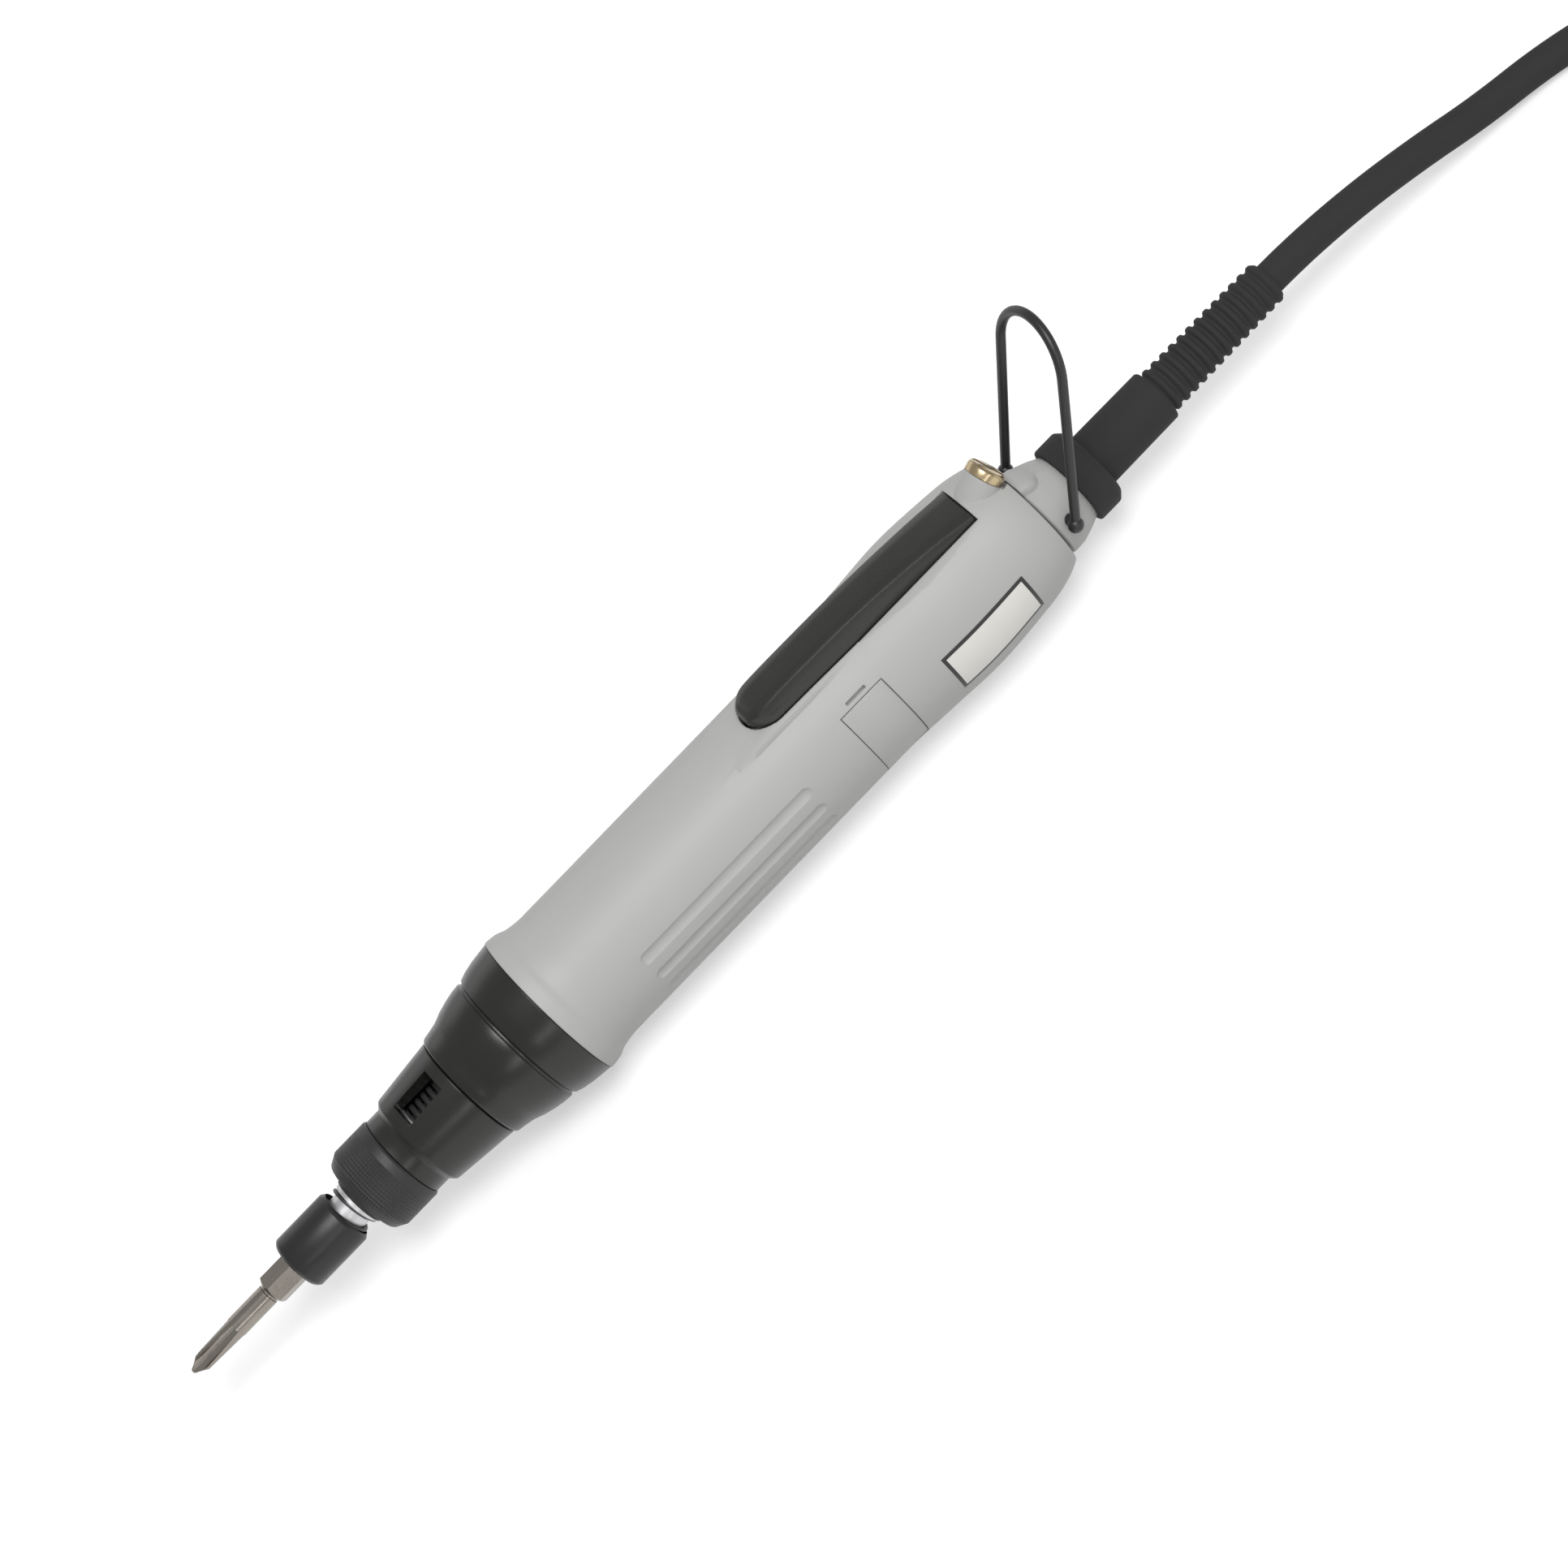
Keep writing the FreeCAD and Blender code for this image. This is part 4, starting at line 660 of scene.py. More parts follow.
@dataclass
class GripBody:
    """Grey body with its flared rim, grip flutes, lever pad, brush hatches and plate."""

    front: float = BODY_FRONT
    rear: float = BODY_REAR
    rim_r: float = 18.05
    body_r: float = 16.4
    flare_end: float = -42.8
    swell_start: float = 36.05
    barrel_step: float = 5.25
    cavity_r: float = 14.3
    wall_r: float = 5.6
    boss_r: float = 4.3
    seat_r: float = 4.95
    seat_depth: float = 6.0
    pad_edge: float = 1.2
    lever_half: float = LEVER_HALF
    slot_gap: float = 0.25
    slot_end: float = 77.95
    slot_floor: float = 12.1
    clear: float = 24.0
    ledge: float = 15.35
    ledge_start: float = 44.0
    ledge_half: float = 9.5
    hatch_x: float = 36.15
    hatch_half: float = 5.65
    hatch_angle: float = 38.6
    hatch_thick: float = 1.9
    hatch_gap: float = 0.12
    hatch_turn_gap: float = 0.42
    hatch_floor: float = 13.0
    hatch_clear: float = 20.0
    nail_x: float = 35.95
    nail_half: float = 2.6
    nail_width: float = 0.3
    nail_depth: float = 0.8
    nail_angle: float = 43.3
    flute_start: float = -30.35
    flute_end: float = 14.95
    flute_r: float = 2.2
    flute_depth: float = 0.55
    flute_turn: float = 19.0
    plate_start: float = TIP + 208.7
    plate_end: float = TIP + 231.9
    plate_r: float = 17.4
    plate_root: float = 0.2
    plate_turn: float = 72.0
    plate_sweep: float = 36.0
    border: float = 0.8
    screw: ScrewLine = ScrewLine()

    def skin(self) -> Outline:
        """Trace the outside of the body.

        Returns:
            Stations and radii from front to rear.
        """
        flare = smooth_line([(self.front, self.rim_r), (-49.3, 17.7), (-47.2, 16.9),
                             (self.flare_end, self.body_r)], -0.1, 0.0)
        barrel = [(self.flare_end + k * self.barrel_step, self.body_r) for k in range(1, 15)]
        swell = smooth_line([(self.swell_start, self.body_r), (48.95, 17.075), (61.85, 17.75), (74.55, 17.0),
                             (81.65, 16.1), (self.rear, 14.0)], 0.0, -0.62)
        return flare + barrel + swell

    def shell(self) -> Piece:
        """Build the hollow body with its cut-outs.

        Returns:
            The piece.
        """
        inside = [(self.rear, self.wall_r), (84.05, self.wall_r), (84.05, 10.6), (73.05, self.cavity_r),
                  (self.front, self.cavity_r)]
        made = Form().spun(self.skin() + inside, 192).piece("body_shells")
        boss = Form().bar(self.boss_r, at(77.5, 0, 11.4), at(87.0, 0, 17.1), 96).piece("boss")
        made = combined(made, [self._pad(), boss], Cut.ADD)
        return combined(made, self._openings(), Cut.REMOVE)

    def _pad(self) -> Piece:
        """Build the raised strip under the lever.

        Returns:
            A solid to add.
        """
        loops = []
        edge = self.pad_edge
        stations = ((9.05, 15.3, 14.35, 7.6), (14.0, 16.05, 14.35, 7.6), (19.05, 16.3, 14.35, 7.6),
                    (30.0, 16.05, 14.35, 7.6), (40.0, 15.75, 14.35, 7.5), (50.0, 15.45, 14.0, 7.4),
                    (60.0, 15.1, 14.0, 7.0))
        for x, top, low, half in stations:
            side = [(-half, low), (-half, top - edge), (-half + edge * 0.4, top - edge * 0.35),
                    (-half + edge * 1.4, top)]
            loops.append([at(x, y, z) for y, z in mirrored(side)])
        return Form().lofted(loops).piece("pad")

    def _openings(self) -> list[Piece]:
        """Build what is cut from the body.

        Returns:
            Lever slot, screw seat, ledge, hatch openings, nail slots and grip flutes.
        """
        half = self.lever_half + self.slot_gap
        turns = [math.pi * k / 16 for k in range(17)]
        plan = [(LEVER_FRONT + self.lever_half - half * math.sin(a), half * math.cos(a)) for a in turns]
        plan += [(self.slot_end, -half), (self.slot_end, half)]
        loops = [[at(x, y, z) for x, y in plan] for z in (self.slot_floor, self.clear)]
        ends = [at(*self.screw.along(depth)) for depth in (0.0, self.seat_depth)]
        seat = Form().bar(self.seat_r, *ends, 96)
        ledge = Form().block((self.ledge_start, -self.ledge_half, self.ledge),
                             (self.slot_end, self.ledge_half, self.clear))
        cutters = [Form().lofted(loops).piece("slot"), seat.piece("seat"), ledge.piece("ledge")]
        for side in (-1, 1):
            reach = self.hatch_half + self.hatch_gap
            low, high = self.hatch_x - reach, self.hatch_x + reach
            ring = [(low, self.hatch_floor), (high, self.hatch_floor), (high, self.hatch_clear),
                    (low, self.hatch_clear)]
            angle = self.hatch_angle + self.hatch_turn_gap
            cutters.append(Form().spun(ring, 40, True, -90 * side - angle, 2 * angle).piece("opening"))
            floor = self.body_r - self.nail_depth
            nail = Form().block((self.nail_x - self.nail_half, -self.nail_width, floor),
                                (self.nail_x + self.nail_half, self.nail_width, self.hatch_clear))
            cutters.append(nail.rolled(-90 * side + side * self.nail_angle).piece("nail"))
            for k in (-1, 0, 1):
                roll = 90 * side + self.flute_turn * k
                lift = self.body_r + self.flute_r - self.flute_depth
                ends = [at(x, 0, lift) for x in (self.flute_start, self.flute_end)]
                cutters.append(Form().bar(self.flute_r, *ends, 40).rolled(roll).piece("flute"))
                cutters += [Form().ball(self.flute_r, end).rolled(roll).piece("flute_end") for end in ends]
        return cutters

    def hatch(self, side: int) -> Piece:
        """Build one brush hatch.

        Args:
            side: 1 on the left and -1 on the right.

        Returns:
            The piece.
        """
        inner = self.body_r - self.hatch_thick
        low, high = self.hatch_x - self.hatch_half, self.hatch_x + self.hatch_half
        ring = [(low, inner), (low, self.body_r), (high, self.body_r), (high, inner)]
        start = -90 * side - self.hatch_angle
        cover = Form().spun(ring, 40, True, start, 2 * self.hatch_angle)
        return cover.bevelled(0.12, 2, 40).piece("hatch_left" if side > 0 else "hatch_right")

    def plate(self, name: str, inset: float, lift: float) -> Piece:
        """Build one layer of the bare plate on the right side.

        Args:
            name: Name of the layer.
            inset: How far its edges stand back, in mm.
            lift: How far it stands over the body, in mm.

        Returns:
            The piece.
        """
        low, high = self.plate_start + inset, self.plate_end - inset
        skin = self.skin()
        ends = []
        for x in (low, high):
            near = min(range(len(skin) - 1), key=lambda k: abs(skin[k][0] - x))
            (xa, ra), (xb, rb) = skin[near], skin[near + 1]
            ends.append((x, ra + (rb - ra) * (x - xa) / (xb - xa)))
        line = [ends[0]] + [(x, r) for x, r in skin if low < x < high] + [ends[1]]
        outer = [(x, r + lift) for x, r in line]
        inner = [(x, r - self.plate_root) for x, r in reversed(line)]
        turn = math.degrees(inset / self.plate_r)
        start, sweep = self.plate_turn + turn, self.plate_sweep - 2 * turn
        return Form().spun(outer + inner, 24, True, start, sweep).piece(name)

    def build(self) -> None:
        """Build and dress the body's pieces."""
        dressed(self.shell(), Body.HOUSING, GREY, ["shell_left", "shell_right"])
        dressed(self.hatch(1), Body.HOUSING, GREY, ["brush_hatch_left"])
        dressed(self.hatch(-1), Body.HOUSING, GREY, ["brush_hatch_right"])
        dressed(self.plate("plate_edge", 0.0, 0.10), Body.HOUSING, PLATE_BLACK)
        dressed(self.plate("plate_front", self.border, 0.16), Body.HOUSING, PLATE_WHITE)


@dataclass
class Nose:
    """Stepped cone, scale barrel with its window, and torque ring."""

    cone_x: float = -75.3
    step_x: float = -60.7
    body_x: float = BODY_FRONT
    ring_x: float = -106.2
    neck_x: float = -94.95
    scale_x: float = -91.25
    bore: float = 8.44
    neck_r: float = 10.0
    sleeve_r: float = 9.19
    ring_r: float = 10.42
    ring_bore: float = 9.27
    collar: float = 1.3
    collar_bore: float = 5.59
    window_x: float = 3.7
    window_length: float = 9.6
    window_half: float = 2.95
    window_turn: float = 13.0
    clear: float = 18.0
    nut_x: float = 2.62
    nut_r: float = 8.28
    nut_bore: float = 7.3
    nut_width: float = 1.4

    def cone(self) -> Piece:
        """Build the stepped cone.

        Returns:
            The piece.
        """
        x, s = self.cone_x, self.step_x
        outline = [(x + 0.25, 10.65), (x + 0.25, 12.85), (x + 0.4, 13.15), (x + 0.8, 13.4), (x + 2.6, 13.7),
                   (x + 4.2, 14.0), (x + 5.4, 14.4), (x + 6.8, 14.95), (x + 9.3, 15.6), (s - 3.2, 16.0),
                   (s - 1.5, 16.15), (s - 1.2, 16.1), (s - 1.0, 15.85), (s - 0.8, 15.75), (s - 0.5, 15.75),
                   (s - 0.3, 15.9), (s, 16.35), (s + 1.7, 16.9), (s + 4.0, 17.35),
                   (self.body_x - 0.3, 17.85), (self.body_x - 0.02, 17.7), (self.body_x - 0.02, 14.2),
                   (s + 2.0, 14.0), (s, 8.6)]
        return Form().spun(outline, 160).piece("stepped_cone")

    def barrel(self) -> Piece:
        """Build the scale barrel and cut its window.

        Returns:
            The piece.
        """
        n, s, c = self.neck_x + 0.05, self.scale_x, self.cone_x
        outline = [(n - 9.0, self.bore), (n - 9.0, self.sleeve_r), (n, self.sleeve_r),
                   (n, self.neck_r - 0.2), (n + 0.2, self.neck_r), (s - 0.3, self.neck_r),
                   (s, self.neck_r + 0.1), (s + 0.9, 11.05), (s + 1.1, 11.25), (s + 1.5, 11.36),
                   (c - 0.3, 12.75), (c, 12.55), (c, 10.6), (c + 3.0, 10.6), (c + 3.0, self.bore)]
        made = Form().spun(outline, 160).piece("scale_drum")
        x = s + self.window_x
        window = Form().block((x, -self.window_half, 0.0),
                              (x + self.window_length, self.window_half, self.clear))
        return combined(made, [window.rolled(self.window_turn).piece("window")], Cut.REMOVE)

    def ring(self) -> Piece:
        """Build the torque ring with the collar that covers the bush.

        Returns:
            The piece.
        """
        x, n, c = self.ring_x, self.neck_x, self.collar
        outline = [(x - c, self.collar_bore), (x - c, 5.85), (x, 5.95), (x, 8.9), (x + 0.3, 9.25),
                   (x + 2.1, 10.2), (x + 2.4, 10.4), (x + 2.8, self.ring_r), (n - 0.6, self.ring_r),
                   (n - 0.3, 10.25), (n, self.neck_r), (n, self.ring_bore), (x + c, self.ring_bore),
                   (x + c, self.collar_bore)]
        return Form().spun(outline, 160).piece("setting_ring")

    def index(self) -> Piece:
        """Build the bright edge of the setting nut that shows in the window.

        Returns:
            The piece.
        """
        x = self.scale_x + self.nut_x
        end = x + self.nut_width
        outline = [(x, self.nut_bore), (x, self.nut_r), (end - 0.15, self.nut_r), (end, self.nut_r - 0.18),
                   (end, self.nut_bore)]
        return Form().spun(outline, 96).piece("nut_edge")

    def build(self) -> None:
        """Build and dress the nose."""
        dressed(self.cone(), Body.HOUSING, BLACK, ["nose_cone"])
        dressed(self.barrel(), Body.HOUSING, BLACK, ["scale_barrel"])
        dressed(self.index(), Body.NUT, BRIGHT)
        dressed(self.ring(), Body.RING, KNURLED, ["torque_ring"])


@dataclass
class Chuck:
    """Bit-release sleeve, its spring and the cross-head bit."""

    sleeve_x: float = -125.75
    gap_x: float = -111.25
    sleeve_r: float = 6.5
    sleeve_bore: float = 4.5
    hex_across: float = 6.35
    shank_x: float = TIP + 22.6
    shank_in: float = 20.0
    shaft_r: float = 2.4
    groove_r: float = 2.15
    flute_r: float = 1.5
    spring_end: float = 3.7
    spring_wire: float = 0.38
    spring_r: float = 5.0
    spring_turns: float = 2.5
    spring_pitch: float = 2.9

    def sleeve(self) -> Piece:
        """Build the sleeve.

        Returns:
            The piece.
        """
        s, g = self.sleeve_x, self.gap_x
        outline = [(s, 5.45), (s, 5.6), (s + 0.2, 5.9), (s + 0.8, 6.42), (s + 1.0, self.sleeve_r),
                   (g - 1.0, self.sleeve_r), (g - 0.8, 6.42), (g - 0.2, 5.95), (g, 5.8), (g - 3.0, 5.8),
                   (g - 3.0, self.sleeve_bore), (s + 2.3, self.sleeve_bore), (s + 2.3, 5.45)]
        return Form().spun(outline, 128).piece("release_sleeve")

    def bit(self) -> Piece:
        """Build the bit: fluted point, round shaft and six-sided shank.

        Returns:
            The piece.
        """
        shank, end = self.shank_x, self.sleeve_x + self.shank_in
        corner = self.hex_across / math.sqrt(3)
        outline = [(TIP, 0), (TIP, 0.45), (TIP + 0.15, 0.6), (TIP + 2.8, 2.3), (TIP + 3.1, self.shaft_r),
                   (shank - 0.6, self.shaft_r), (shank - 0.5, self.groove_r), (shank + 0.1, self.groove_r),
                   (shank + 0.1, 0)]
        made = Form().spun(outline, 64, False).piece("cross_bit")
        cutters = []
        for k in range(4):
            flute = Form().bar(self.flute_r, at(TIP - 2.0, 0, 1.9), at(TIP + 12.5, 0, 3.46), 24)
            cutters.append(flute.rolled(45 + 90 * k).piece("flute"))
        made = combined(made, cutters, Cut.REMOVE)
        bar = Form().bar(corner, at(shank, 0, 0), at(end, 0, 0), 6).piece("shank")
        outline = [(shank, 0), (shank, 2.6), (shank + 0.8, corner + 0.05), (end, corner + 0.05), (end, 0)]
        round_off = Form().spun(outline, 64, False).piece("round_off")
        bar = combined(bar, [round_off], Cut.KEEP)
        return combined(made, [bar], Cut.ADD)

    def spring(self) -> Piece:
        """Build the wire spring behind the sleeve.

        Returns:
            The piece.
        """
        length = self.spring_turns * self.spring_pitch
        first = at(self.gap_x + self.spring_end - length, 0, 0)
        run, side = Vector((length, 0, 0)) * MM, Vector((0, 0, self.spring_r)) * MM
        return Form().coiled(first, run, side, self.spring_wire, self.spring_turns).piece("release_spring")

    def build(self) -> None:
        """Build and dress the chuck."""
        dressed(self.spring(), Body.HOUSING, DARK_WIRE, ["sleeve_spring"])
        dressed(self.sleeve(), Body.SLEEVE, BLACKENED, ["chuck_sleeve"])
        dressed(self.bit(), Body.SPINDLE, BIT_STEEL, ["bit"], 25.0)


@dataclass
class StartLever:
    """Black start lever with a crowned top and a rounded front, and its pivot pin."""

    front: float = LEVER_FRONT
    rear: float = 77.6
    half: float = LEVER_HALF
    edge: float = 1.0
    draft: float = 0.28
    foot: float = 15.2
    hollow: float = 1.6
    roof_wall: float = 2.2
    pin_x: float = 73.9
    pin_z: float = 14.7
    pin_half: float = 5.2
    pin_r: float = 1.0

    def crown(self) -> Outline:
        """Return the lever's top line."""
        return smooth_line([(self.front, 17.2), (18.6, 19.3), (22.7, 20.0), (32.0, 20.1), (49.0, 19.6),
                            (66.7, 17.95), (self.rear, 16.2)], 2.0, -0.17)

    def underside(self, x: float) -> float:
        """Find the height of the underside.

        Args:
            x: Station in mm.

        Returns:
            Height over the tool axis in mm.
        """
        knots = [(self.front, 17.25), (18.0, 16.85), (20.0, 16.4), (24.0, 16.0), (30.0, 15.7), (52.05, 15.0),
                 (68.0, 12.7), (self.rear, 12.7)]
        for (xa, za), (xb, zb) in zip(knots, knots[1:]):
            if x <= xb:
                return za + (zb - za) * (x - xa) / (xb - xa)
        return knots[-1][1]

    def build(self) -> None:
        """Build and dress the lever."""
        loops = []
        for x, top in self.crown()[1:]:
            reach = max(0.0, self.front + self.half - x)
            foot = math.sqrt(max(0.3, self.half**2 - reach**2))
            half = foot - self.draft * max(0.0, top - self.foot) * foot / self.half
            low = self.underside(x)
            edge = min(self.edge, half * 0.4, (top - low) * 0.45)
            roof = max(low + 0.1, min(low + self.hollow, top - self.roof_wall))
            wall = max(low + 0.05, min(self.foot, top - 2 * edge))
            side = [(foot * 0.86, roof), (foot * 0.92, low), (foot, low), (foot, wall), (half, top - edge),
                    (half - edge * 0.3, top - edge * 0.3), (half - edge, top), (half * 0.45, top + 0.06)]
            loops.append([at(x, y, z) for y, z in mirrored(side)])
        made = Form().lofted(loops).piece("lever_bar")
        dressed(made, Body.LEVER, LEVER_BLACK, ["start_lever"], 40.0)
        ends = [at(self.pin_x, y, self.pin_z) for y in (-self.pin_half, self.pin_half)]
        pin = Form().bar(self.pin_r, *ends).bevelled(0.2, 3, 60)
        dressed(pin.piece("pivot_pin"), Body.HOUSING, BRIGHT, ["lever_pin"])


@dataclass
class InnerSprings:
    """Clutch spring and lever spring."""

    clutch_wire: float = 0.65
    clutch_turns: int = 10
    clutch_travel: float = 7.5
    lever_wire: float = 0.25
    lever_turns: int = 3
    lever_travel: float = 1.6

    def coil(self, name: str, node: str, along: Vector, wire: float, turns: int) -> Piece:
        """Build a coil in the box of the node that it replaces.

        Args:
            name: Name of the piece.
            node: Node that it replaces.
            along: Direction of the coil's axis.
            wire: Radius of the wire in mm.
            turns: Number of turns.

        Returns:
            The piece.
        """
        low, high = (Vector(corner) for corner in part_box(node))
        middle, size = (low + high) / 2, high - low
        length = size.dot(along) - 2 * wire * MM
        across = Vector((0, 1, 0))
        mean = size.y / 2 - wire * MM
        form = Form().coiled(middle - along * length / 2, along * length, across * mean, wire, turns)
        return dressed(form.piece(name), Body.HOUSING, PHOSPHATED, [node])

    def shorten(self, made: Piece) -> None:
        """Give a spring its own copy of its mesh.

        Args:
            made: The spring.
        """
        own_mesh(made)

    def build(self) -> None:
        """Build and dress both springs."""
        back, up = Vector((1, 0, 0)), Vector((0, 0, 1))
        clutch = self.coil("clutch_spring", "torque_spring", back, self.clutch_wire, self.clutch_turns)
        self.shorten(clutch)
        lever = self.coil("return_spring", "lever_spring", up, self.lever_wire, self.lever_turns)
        self.shorten(lever)


@dataclass
class TailEnd:
    """End cap with its screw, gland nut, strain relief and wire bail."""

    cap_x: float = BODY_REAR
    gland_x: float = 97.35
    gland_r: float = 9.75
    boot_x: float = 104.25
    rib_x: float = 123.55
    end_x: float = 155.95
    ribs: int = 13
    crest: float = 5.35
    crest_taper: float = 0.35
    root: float = 4.75
    root_taper: float = 0.3
    drop: float = 3.6
    screw: ScrewLine = ScrewLine()
    screw_r: float = 1.5
    screw_length: float = 6.6
    head_r: float = 4.15
    head_top: float = 2.4
    slot_low: float = 0.9
    slot_high: float = 4.0
    slot_half: float = 0.85
    slot_reach: float = 3.5
    slot_turn: float = -45.0
    pivot_x: float = 91.55
    eye_r: float = 1.13
    eye_floor: float = 7.9
    eye_clear: float = 20.0
    bail_half: float = 12.3
    bail_top_r: float = 10.5
    bail_length: float = 43.5
    bail_wire: float = 1.05
    bail_foot_r: float = 1.7
    bail_rest: float = 62.0

    def lowered(self, form: Form) -> Form:
        """Move a form from the tool axis down to the axis of the cord."""
        bmesh.ops.translate(form.mesh, verts=form.mesh.verts, vec=Vector((0, 0, -self.drop)) * MM)
        return form

    def cap(self) -> Piece:
        """Build the end cap.

        Returns:
            The piece.
        """
        c, g = self.cap_x, self.gland_x
        stations = ((c, 9.2, 2.4), (c + 0.75, 9.3, 2.4), (c + 0.85, 10.6, 2.4), (c + 1.2, 11.0, 2.5),
                    (c + 2.2, 10.95, 2.75), (c + 4.5, 10.5, 3.2), (c + 7.4, 9.5, 3.4),
                    (g - 0.3, 8.5, self.drop), (g, 8.3, self.drop))
        turn = [2 * math.pi * k / 96 for k in range(96)]
        loops = [[at(x, r * math.sin(a), r * math.cos(a) - low) for a in turn] for x, r, low in stations]
        made = combined(Form().lofted(loops).piece("rear_cap"), [self._lug()], Cut.ADD)
        bore = Form().bar(BORE_R, at(c - 4, 0, -self.drop), at(g + 1, 0, -self.drop))
        cuts = [bore.piece("bore")]
        for side in (-1, 1):
            ends = [at(self.pivot_x, side * y, 0) for y in (self.eye_floor, self.eye_clear)]
            cuts.append(Form().bar(self.eye_r, *ends, 32).piece("eye"))
        return combined(made, cuts, Cut.REMOVE)

    def _lug(self) -> Piece:
        """Build the rounded lug on the cap, behind the screw's head.

        Returns:
            A solid to add.
        """
        loops = []
        stations = ((0.9, 9.4, 4.0), (1.6, 9.5, 4.1), (3.0, 9.2, 4.1), (4.2, 8.6, 3.7), (5.2, 7.7, 2.9),
                    (6.0, 6.6, 1.8))
        for x, top, half in stations:
            side = [(half, 3.0), (half, top - 1.3), (half * 0.9, top - 0.5), (half * 0.7, top - 0.1),
                    (half * 0.3, top)]
            loops.append([at(self.cap_x + x, y, z) for y, z in mirrored(side)])
        return Form().lofted(loops).piece("lug")

    def cap_screw(self) -> Piece:
        """Build the tilted round-head screw with its slot.

        Returns:
            The piece.
        """
        outline = [(-self.screw_length, 0), (-self.screw_length, self.screw_r), (0, self.screw_r), (0, 4.0),
                   (0.15, self.head_r), (1.5, self.head_r), (1.95, 4.0), (2.3, 3.6), (self.head_top, 3.2),
                   (self.head_top, 0)]
        head = Form().spun(outline, 96, False)
        slot = Form().block((self.slot_low, -self.slot_half, -self.slot_reach),
                            (self.slot_high, self.slot_half, self.slot_reach)).rolled(self.slot_turn)
        for form in (head, slot):
            bmesh.ops.rotate(form.mesh, verts=form.mesh.verts, cent=at(0, 0, 0),
                             matrix=Matrix.Rotation(math.radians(-self.screw.tilt), 3, "Y"))
            bmesh.ops.translate(form.mesh, verts=form.mesh.verts, vec=Vector(self.screw.along(0.0)) * MM)
        return combined(head.piece("brass_screw_head"), [slot.piece("slot")], Cut.REMOVE)

    def gland(self) -> Piece:
        """Build the gland nut.

        Returns:
            The piece.
        """
        g, b = self.gland_x, self.boot_x
        outline = [(g, BORE_R), (g, 9.3), (g + 0.15, 9.6), (g + 0.5, self.gland_r), (b - 1.6, self.gland_r),
                   (b - 1.2, 9.6), (b - 0.3, 8.75), (b, 8.4), (b, BORE_R)]
        return self.lowered(Form().spun(outline, 128)).piece("cable_nut")

    def boot(self) -> Piece:
        """Build the strain relief with its ribs.

        Returns:
            The piece.
        """
        outline = [(self.boot_x, BORE_R), (self.boot_x, 6.2), (self.boot_x + 0.3, 6.35),
                   (self.rib_x - 0.4, 6.22), (self.rib_x - 0.1, 6.0), (self.rib_x, 5.6)]
        pitch = (self.end_x - self.rib_x) / self.ribs
        for k in range(self.ribs):
            x = self.rib_x + pitch * k
            crest = self.crest - self.crest_taper * k / (self.ribs - 1)
            root = self.root - self.root_taper * min(1.0, k / 5)
            rib = ((0.08, root), (0.22, root), (0.42, crest - 0.06), (0.5, crest), (0.68, crest),
                   (0.76, crest - 0.06), (0.95, root))
            outline += [(x + pitch * share, r) for share, r in rib]
        outline += [(self.end_x, 4.4), (self.end_x, BORE_R)]
        return self.lowered(Form().spun(outline, 96)).piece("strain_relief")

    def bail(self) -> Piece:
        """Build the wire bail as one swept wire with round feet.

        Returns:
            The piece.
        """
        half, top_r = self.bail_half, self.bail_top_r
        centre = self.bail_length - top_r
        lean = math.atan2(half, centre) - math.asin(top_r / math.hypot(half, centre))
        arc = [(centre + top_r * math.sin(a), top_r * math.cos(a))
               for a in (lean + (math.pi - 2 * lean) * k / 28 for k in range(29))]
        path = [(0.0, 8.2), (0.0, 11.2), (0.15, 11.8), (0.6, 12.24), (1.4, 12.24)] + arc
        path += [(t, -y) for t, y in reversed(path[:5])]
        rise = math.radians(self.bail_rest)
        places = [at(self.pivot_x + t * math.cos(rise), y, t * math.sin(rise)) for t, y in path]
        wire = tube("wire", "POLY", places, self.bail_wire, 6)
        form = Form()
        form.mesh.from_mesh(evaluated(wire))
        bpy.data.objects.remove(wire)
        for side in (-1, 1):
            form.ball(self.bail_foot_r, at(self.pivot_x, side * half, 0))
        return form.piece("hanging_bail")

    def build(self) -> None:
        """Build and dress the tail end."""
        dressed(self.cap(), Body.HOUSING, GREY, ["end_cap"])
        dressed(self.cap_screw(), Body.HOUSING, BRASS, ["cap_screw"])
        dressed(self.gland(), Body.HOUSING, RUBBER, ["gland_nut"])
        dressed(self.boot(), Body.HOUSING, RUBBER, ["strain_boot"])
        dressed(self.bail(), Body.BAIL, BAIL_BLACK, ["bail"])


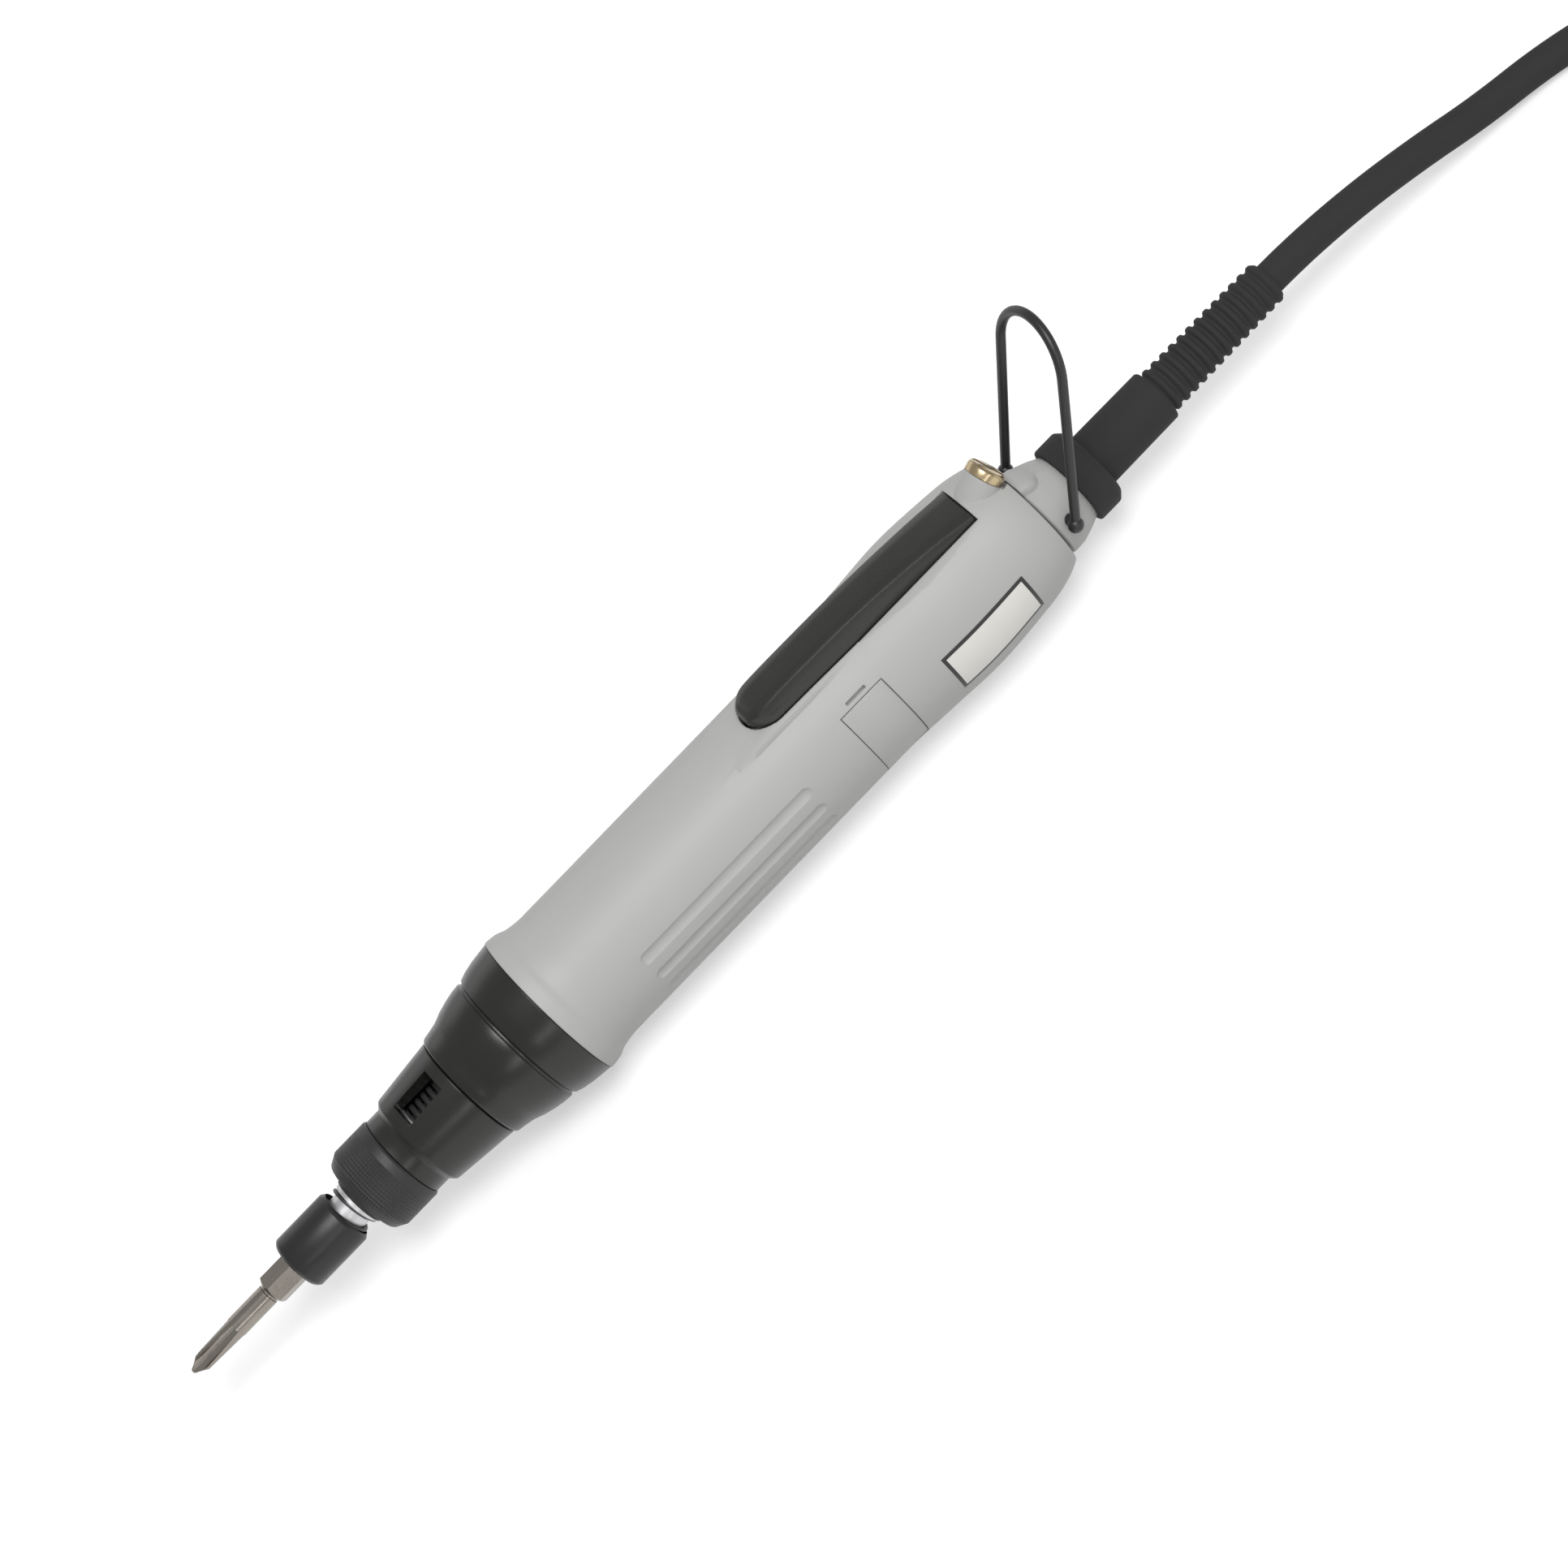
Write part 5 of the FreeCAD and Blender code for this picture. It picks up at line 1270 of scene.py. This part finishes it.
@dataclass
class Cord:
    """Cord with its put-away hank."""

    radius: float = 3.6
    fold: float = 21.6
    run: float = 84.0
    layer: float = 7.9
    last_layer: float = 12.3
    layers: int = 4
    hank_x: float = 288.0

    def route(self) -> list[tuple[float, float, float]]:
        """Return the control points of the free cord, in mm over the floor."""
        return [(155.0, 0, 14.45), (163.0, 0, 14.45), (180, 0, 12.4), (197, -0.2, 8.8), (213, -1.0, 4.9),
                (229, -2.6, 3.6), (243, -7.5, 3.6), (258, -16.5, 3.6), (273, -21.6, 3.6)]

    def hank(self) -> list[tuple[float, float, float]]:
        """Stack the long loops of the put-away cord.

        Returns:
            Their control points, in mm over the floor.
        """
        low, high = self.hank_x, self.hank_x + self.run
        eighth = math.radians(22.5)
        near, wide = self.fold * math.tan(eighth), self.fold / math.cos(eighth)
        points: list[tuple[float, float, float]] = []
        z = self.radius
        for k in range(self.layers):
            rise = self.layer if k < self.layers - 1 else self.last_layer
            points += [(low + near, -self.fold, z), (high - near, -self.fold, z)]
            for a in (-67.5, -22.5, 22.5, 67.5):
                turn = math.radians(a)
                points.append((high + wide * math.cos(turn), wide * math.sin(turn), z))
            points += [(high - near, self.fold, z), (low + near, self.fold, z + rise)]
            z += rise
            for a in (112.5, 157.5, 202.5, 247.5):
                turn = math.radians(a)
                points.append((low + wide * math.cos(turn), wide * math.sin(turn), z))
        return points + [(low + near * 0.5, -self.fold, z), (low + 7.2, -self.fold, z)]

    def build(self) -> None:
        places = [Vector(place) * MM for place in self.route() + self.hank()]
        made = tube("power_cord", "NURBS", places, self.radius, 8, 10)
        line = made.data.splines[0]
        line.order_u = 3
        line.use_endpoint_u = True
        dressed(made, Body.HOUSING, RUBBER, ["cord_lead", "cord_hank"])


@dataclass
class Stage:
    """Floor, light and camera of the picture."""

    pixels: int = 1932
    per_mm: float = 6.06
    distance: float = 650.0
    elevation: float = 47.0
    slant: float = 45.9
    aim_x: float = 13.45
    aim_drop: float = 3.1
    sensor: float = 36.0
    floor_half: float = 3.0
    floor_glow: float = 1.45
    glow_share: float = 0.32
    sky_power: float = 0.45

    def floor(self) -> None:
        """Lay the pale floor that keeps the soft shadow."""
        form = Form()
        bmesh.ops.create_grid(form.mesh, x_segments=1, y_segments=1, size=self.floor_half)
        made = form.piece("floor")
        finish = bpy.data.materials.new("pale_floor")
        graph = Graph(finish)
        path = graph.node("ShaderNodeLightPath")
        camera, glossy, through = (Value(graph, path.outputs[f"Is {kind} Ray"])
                                   for kind in ("Camera", "Glossy", "Transmission"))
        seen = camera + glossy + through
        pale = graph.blend(seen, (0.55, 0.55, 0.55), (0.95, 0.95, 0.95))
        matt = graph.node("ShaderNodeBsdfDiffuse", {}, {"Color": pale})
        glow = graph.node("ShaderNodeEmission", {}, {"Color": (1, 1, 1, 1), "Strength": self.floor_glow})
        mixed = graph.node("ShaderNodeMixShader", {}, {
            0: seen * self.glow_share, 1: matt.outputs[0], 2: glow.outputs[0]})
        graph.node("ShaderNodeOutputMaterial", {}, {"Surface": mixed.outputs[0]})
        made.data.materials.append(finish)

    def lamp(self, name: str, place: tuple[float, float, float], size: tuple[float, float],
             power: float) -> None:
        """Hang a soft light that points at the tool.

        Args:
            name: Name of the light.
            place: Its place in metres.
            size: Its width and height in metres.
            power: Its power in watts.
        """
        data = bpy.data.lights.new(name, "AREA")
        data.shape = "RECTANGLE"
        data.size, data.size_y = size
        data.energy = power
        made = linked(name, data)
        made.location = place
        made.rotation_euler = (Vector((0, 0, 0.02)) - Vector(place)).to_track_quat("-Z", "Y").to_euler()

    def sky(self) -> None:
        """Set the even light from all sides, which the camera sees as white."""
        world = bpy.data.worlds.new("studio")
        graph = Graph(world)
        soft, white = (graph.node("ShaderNodeBackground", {}, {"Color": (1, 1, 1, 1), "Strength": power})
                       for power in (self.sky_power, 1.0))
        seen = graph.node("ShaderNodeLightPath").outputs["Is Camera Ray"]
        mixed = graph.node("ShaderNodeMixShader", {}, {0: seen, 1: soft.outputs[0], 2: white.outputs[0]})
        graph.node("ShaderNodeOutputWorld", {}, {"Surface": mixed.outputs[0]})
        bpy.context.scene.world = world

    def camera(self) -> None:
        """Set the camera at the photograph's viewing angle."""
        tilt, roll = math.radians(self.elevation), math.radians(self.slant)
        along = Vector((1, 0, 0))
        rise = Vector((0, math.sin(tilt), math.cos(tilt)))
        back = Vector((0, -math.cos(tilt), math.sin(tilt)))
        right = along * math.cos(roll) - rise * math.sin(roll)
        up = along * math.sin(roll) + rise * math.cos(roll)
        target = at(self.aim_x, 0, 0) - rise * self.aim_drop * MM
        turn = Matrix((right, up, back)).transposed().to_4x4()
        data = bpy.data.cameras.new("camera")
        data.sensor_width = self.sensor
        data.lens = self.sensor * self.distance / (self.pixels / self.per_mm)
        data.clip_start = 0.01
        made = linked("camera", data)
        made.matrix_world = Matrix.Translation(target + back * self.distance * MM) @ turn
        bpy.context.scene.camera = made

    def build(self) -> None:
        """Set up the picture."""
        self.floor()
        self.sky()
        self.lamp("key", (0.12, -0.38, 0.92), (0.5, 0.5), 6.0)
        self.lamp("strip", (0.05, -1.05, 0.48), (1.4, 0.10), 2.2)
        self.lamp("fill", (0.0, 0.95, 0.40), (1.2, 0.5), 1.4)
        self.camera()
        bpy.context.scene.view_settings.view_transform = "Standard"


def dress_nodes() -> None:
    """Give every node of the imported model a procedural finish."""
    slots = {part["node"]: part["material_slot"] for part in frame["record"]["subparts"]}
    for name, node in frame["nodes"].items():
        finish = NODE_FINISHES[slots[name]]
        node.data.materials.clear()
        node.data.materials.append(finish.material())
        LOG.info("node %s takes %s", name, finish.name)


def main() -> None:
    """Build the pieces in order."""
    logging.basicConfig(level=logging.INFO, format="%(message)s")
    dress_nodes()
    Stage().build()
    Cord().build()
    for assembly in (GripBody(), Nose(), Chuck(), StartLever(), InnerSprings(), TailEnd()):
        assembly.build()


if __name__ == "__main__":
    main()
